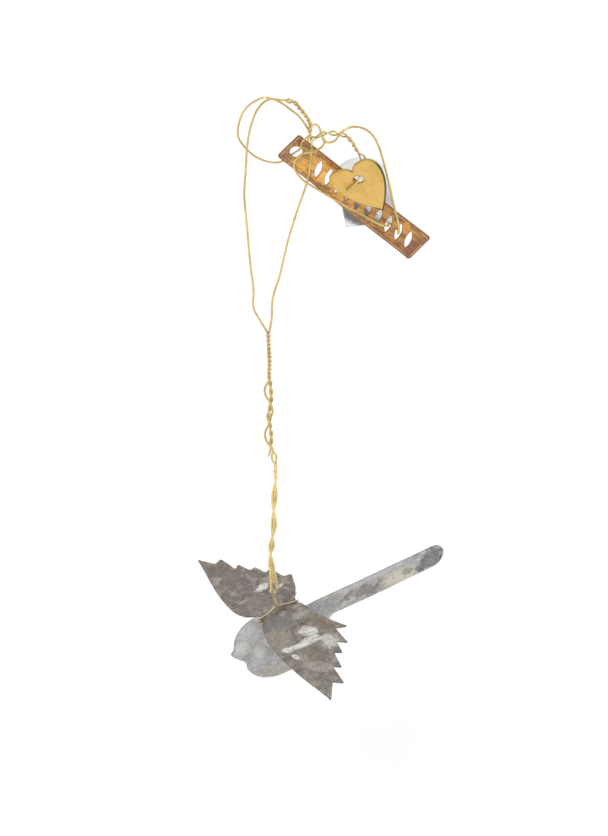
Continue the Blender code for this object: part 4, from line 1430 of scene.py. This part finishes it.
def arch_outline(width: float = 16.2, height: float = 28.4, drop: float = 4.2, middle: float = -1.55,
                 runs: int = 120, points: int = 58) -> tuple[Array, tuple[float, ...]]:
    """Round-topped tag: half a circle over a straight-sided foot.

    Args:
        width: Its width.
        height: Its full height.
        drop: Height of its top above the hole.
        middle: Its middle line from the hole.
        runs: Runs of the half circle.
        points: Points along each straight side.

    Returns:
        The closed outline from the hole, as (x, z), and the angles of its two lower corners.
    """
    half, foot = width / 2, drop - height
    top = arc((0.0, drop - half), half, 0, 180, runs)
    left, right = np.array([-half, foot]), np.array([half, foot])
    ends = joined(left, right) + np.array([middle, 0.0])
    line = joined(
        top, between(top[-1], left, points), left, between(left, right, points),
        right, between(right, top[0], points))
    return line + np.array([middle, 0.0]), tuple(np.degrees(np.arctan2(ends[:, 1], ends[:, 0])))


# Room


@dataclass(frozen=True)
class Lamp:
    """A square soft light: its name, place and side in metres, power in watts and colour."""

    name: str
    place: Point
    size: float
    power: float
    tint: Colour


@dataclass
class Studio:
    """White floor, soft lights and the camera, in metres and degrees."""

    lamps: tuple[Lamp, ...] = (
        Lamp("key", (-0.7, -0.9, 1.5), 0.9, 15.5, (1.0, 0.98, 0.95)),
        Lamp("fill", (1.3, -0.6, 0.8), 1.1, 5.0, (0.96, 0.98, 1.0)),
        Lamp("back", (0.2, 1.3, 0.9), 0.8, 4.0, (1.0, 1.0, 1.0)))
    lamp_aim: Point = (0.01, 0.0, -0.13)
    floor_height: float = -0.34
    floor_reach: float = 40.0
    floor_points: int = 9
    sky: dict[str, Any] = field(default_factory=lambda: {"Color": (1.0, 1.0, 1.0, 1.0), "Strength": 0.65})
    camera_place: Point = (0.00993, -2.13820, 1.92788)
    camera_tilt: float = 46.0
    lens: float = 400.0
    sensor: float = 36.0
    far: float = 200.0

    def stand(self, name: str, data: bpy.types.ID, place: Point, turn: Point) -> bpy.types.Object:
        """Put a light or the camera into the scene.

        Args:
            name: The object's name.
            data: Its light or camera.
            place: Where it stands.
            turn: Its rotation in radians.

        Returns:
            The object.
        """
        obj = bpy.data.objects.new(name, data)
        obj.location, obj.rotation_euler = place, turn
        bpy.context.scene.collection.objects.link(obj)
        return obj

    def floor(self) -> None:
        """A wide flat floor under the ornament."""
        side = np.linspace(-self.floor_reach, self.floor_reach, self.floor_points) / MM
        x, y = np.meshgrid(side, side, indexing="ij")
        points = np.stack([x, y, np.full_like(x, self.floor_height / MM)], axis=-1).reshape(-1, 3)
        faces = grid_faces(self.floor_points, self.floor_points)[:, ::-1]
        Shape(points, faces.tolist()).put("floor", FloorFinish().make())

    def light(self, lamp: Lamp) -> None:
        """A square soft light aimed at the ornament's middle.

        Args:
            lamp: The light.
        """
        data = bpy.data.lights.new(lamp.name, "AREA")
        data.energy, data.size, data.color = lamp.power, lamp.size, lamp.tint
        aim = unit(np.asarray(self.lamp_aim) - np.asarray(lamp.place))
        turn = np.arctan2(aim[1], aim[0]) - np.pi / 2
        self.stand(lamp.name, data, lamp.place, (float(np.arccos(-aim[2])), 0.0, float(turn)))

    def make(self) -> None:
        """Put the room together."""
        scene = bpy.context.scene
        scene.view_settings.view_transform = "Standard"
        scene.world = bpy.data.worlds.new("soft_room")
        scene.world.use_nodes = True
        for name, setting in self.sky.items():
            scene.world.node_tree.nodes["Background"].inputs[name].default_value = setting
        self.floor()
        for lamp in self.lamps:
            self.light(lamp)
        camera = bpy.data.cameras.new("camera")
        camera.lens, camera.sensor_width, camera.clip_end = self.lens, self.sensor, self.far
        tilt = float(np.radians(self.camera_tilt))
        scene.camera = self.stand("camera", camera, self.camera_place, (tilt, 0.0, 0.0))


# Finishes

PALE_ZINC = ZincFinish(
    "pale_zinc", dark=(0.24, 0.225, 0.21), mid=(0.45, 0.43, 0.4), cool=(0.4, 0.405, 0.42),
    light=(0.66, 0.66, 0.65), oxide=(0.72, 0.72, 0.69), stroke=-25.0, upright=True, calm=0.55, solid=0.5,
    stains_and_shade=(Blot((13.5, -2.3), (4.6, 3.0), (0.52, 0.535, 0.57), 55, 0.7),
            Blot((15.9, -8.4), (4.4, 2.6), (0.6, 0.59, 0.56), 41, 0.7),
            Blot((9.0, -16.5), (6.0, 3.0), (0.47, 0.49, 0.51), 78, 0.7),
            Blot((3.5, -25.5), (8.5, 3.0), (0.43, 0.39, 0.34), 15, 0.8),
            Blot((-13.6, -5.3), (5.5, 3.2), (0.25, 0.255, 0.285), 16, 0.9),
            Blot((-19.5, -8.0), (4.0, 3.4), (0.33, 0.315, 0.3), 0, 0.8),
            Blot((-33.7, -8.6), (8.4, 2.7), (0.2, 0.175, 0.165), 3, 1.0, 0.6),
            Blot((-35.3, -3.9), (13.0, 1.2), (0.5, 0.5, 0.49), 0, 0.8),
            Blot((-46.8, -9.6), (7.2, 3.3), (0.66, 0.6, 0.48), 3, 0.85, 0.6),
            Blot((-49.6, -8.6), (2.5, 1.5), (0.2, 0.195, 0.18), 20, 0.75, 0.5, 6.0),
            Blot((-55.0, -10.2), (2.4, 1.5), (0.1, 0.1, 0.105), 20, 1.0, 0.5, 5.0),
            Blot((-60.5, -8.0), (5.6, 4.6), (0.14, 0.14, 0.15), 10, 1.0, 0.6, 5.0)),
    streaks=(Blot((16.2, -8.0), (2.2, 1.2), turn=30, strength=0.5),
             Blot((9.0, -14.0), (1.6, 3.4), turn=-20, strength=0.45)))
BROWN_ZINC = ZincFinish(
    "brown_zinc", dark=(0.125, 0.105, 0.088), mid=(0.265, 0.225, 0.18), cool=(0.22, 0.2, 0.188),
    light=(0.42, 0.38, 0.33), oxide=(0.7, 0.7, 0.65), stroke=0.0,
    stains_and_shade=(Blot((6.4, 9.5), (5.4, 3.6), (0.36, 0.33, 0.28), 55, 0.8),
            Blot((0.8, 4.8), (7.0, 2.4), (0.2, 0.2, 0.205), -3, 0.9),
            Blot((-4.3, 5.1), (3.2, 1.1), (0.44, 0.41, 0.36), -8, 0.9),
            Blot((-9.3, 10.5), (4.4, 2.4), (0.22, 0.18, 0.14), -40, 0.8),
            Blot((-1.1, 20.5), (4.6, 2.6), (0.19, 0.155, 0.125), -15, 1.0),
            Blot((1.8, 25.4), (5.0, 2.0), (0.42, 0.385, 0.35), -38, 0.85),
            Blot((2.9, -24.5), (7.2, 4.4), (0.2, 0.162, 0.142), -87, 0.85),
            Blot((6.5, -33.0), (6.3, 2.6), (0.19, 0.165, 0.14), 84, 0.8),
            Blot((4.5, -8.3), (5.6, 4.0), (0.26, 0.23, 0.19), 22, 0.7),
            Blot((-8.5, -6.0), (4.5, 4.0), (0.17, 0.155, 0.14), 0, 0.7)),
    streaks=(Blot((0.9, 14.7), (7.8, 1.0), turn=-6, ragged=7.0),
             Blot((-7.6, 18.2), (3.2, 3.0), turn=41, strength=0.75, ragged=11.0),
             Blot((-3.4, 11.0), (3.4, 1.7), turn=-21, ragged=11.0),
             Blot((6.8, 14.2), (1.7, 1.1), turn=-27, ragged=7.0),
             Blot((5.8, 18.0), (1.5, 0.9), turn=-64, ragged=7.0),
             Blot((-2.4, 14.0), (3.0, 1.2), turn=-6, ragged=9.0),
             Blot((-2.4, -14.6), (3.0, 1.25), turn=13, ragged=9.0),
             Blot((-7.7, -11.7), (1.7, 0.6), turn=25, strength=0.8, ragged=7.0),
             Blot((6.8, -12.0), (1.8, 0.5), turn=2, strength=0.4, ragged=7.0)))
# Below lower_lit_from the brass wire is painted paler, as if lit more brightly.
BRASS_WIRE = WireFinish(
    "brass_wire", bright=(0.72, 0.57, 0.245), dull=(0.6, 0.465, 0.185), deep=(0.33, 0.215, 0.07),
    lower_lit=(0.88, 0.68, 0.34))
TIE_WIRE = WireFinish(
    "tie_brass", bright=(0.6, 0.49, 0.27), dull=(0.48, 0.4, 0.23), deep=(0.26, 0.19, 0.09),
    lower_lit=(0.64, 0.55, 0.33))
TINTED_TAG = TintedFinish(
    "tinted_brass", gold=(1.0, 0.64, 0.2), orange=(0.86, 0.43, 0.105), brown=(0.34, 0.155, 0.065),
    purple=(0.25, 0.125, 0.09))
# flank paints shade along the heart's lower right edge.
HEART_BRASS = CharmFinish(
    "heart_brass", bright=(0.76, 0.5, 0.155), dull=(0.64, 0.41, 0.115), rim_colour=(0.42, 0.26, 0.07),
    turn=HEART_TILT, centre=HEART_HOLE, rough=0.42, metal=0.8, lines=0.25, flank=0.9)
# The bright tag's blot is a painted shadow and dark reflection of the long tag.
BRIGHT_SHEET = CharmFinish(
    "bright_sheet", bright=(0.88, 0.94, 0.98), dull=(0.8, 0.86, 0.91), rim_colour=(0.5, 0.5, 0.52),
    # glow is painted light on the tag's shaded top.
    turn=SILVER_TILT, centre=SILVER_HOLE, rough=0.3, metal=0.1, lines=0.6, glow=(0.18, 0.26, 0.31),
    stains_and_shade=(Blot((-5.3, -19.1), (10.0, 4.0), (0.085, 0.068, 0.065), -52, 0.9, 0.6, 2.0),))


def main() -> None:
    """Build the room and every piece, and note the sizes."""
    logging.basicConfig(level=logging.INFO, format="%(message)s")
    Studio().make()
    tag = LongTag(TINTED_TAG.make())
    heart = Charm("heart_charm", "brass_heart", "heart", Body.HEART, HEART_HOLE, HEART_TILT,
                  HEART_BRASS.make(), heart_outline(), dish=0.15)
    silver = Charm("bright_tag", "silver_tag", "silver", Body.SILVER, SILVER_HOLE, SILVER_TILT,
                   BRIGHT_SHEET.make(), *arch_outline())
    for piece in (tag, heart, silver):
        piece.make()
    hanger = Hanger(BRASS_WIRE.make())
    hanger.loop()
    hanger.drop()
    hanger.tag_ring()
    hanger.slot_loop(tag)
    hanger.charms()
    bird = Bird(PALE_ZINC.make(), BROWN_ZINC.make(), TIE_WIRE.make())
    bird.body()
    bird.wings()
    bird.tie()


if __name__ == "__main__":
    main()
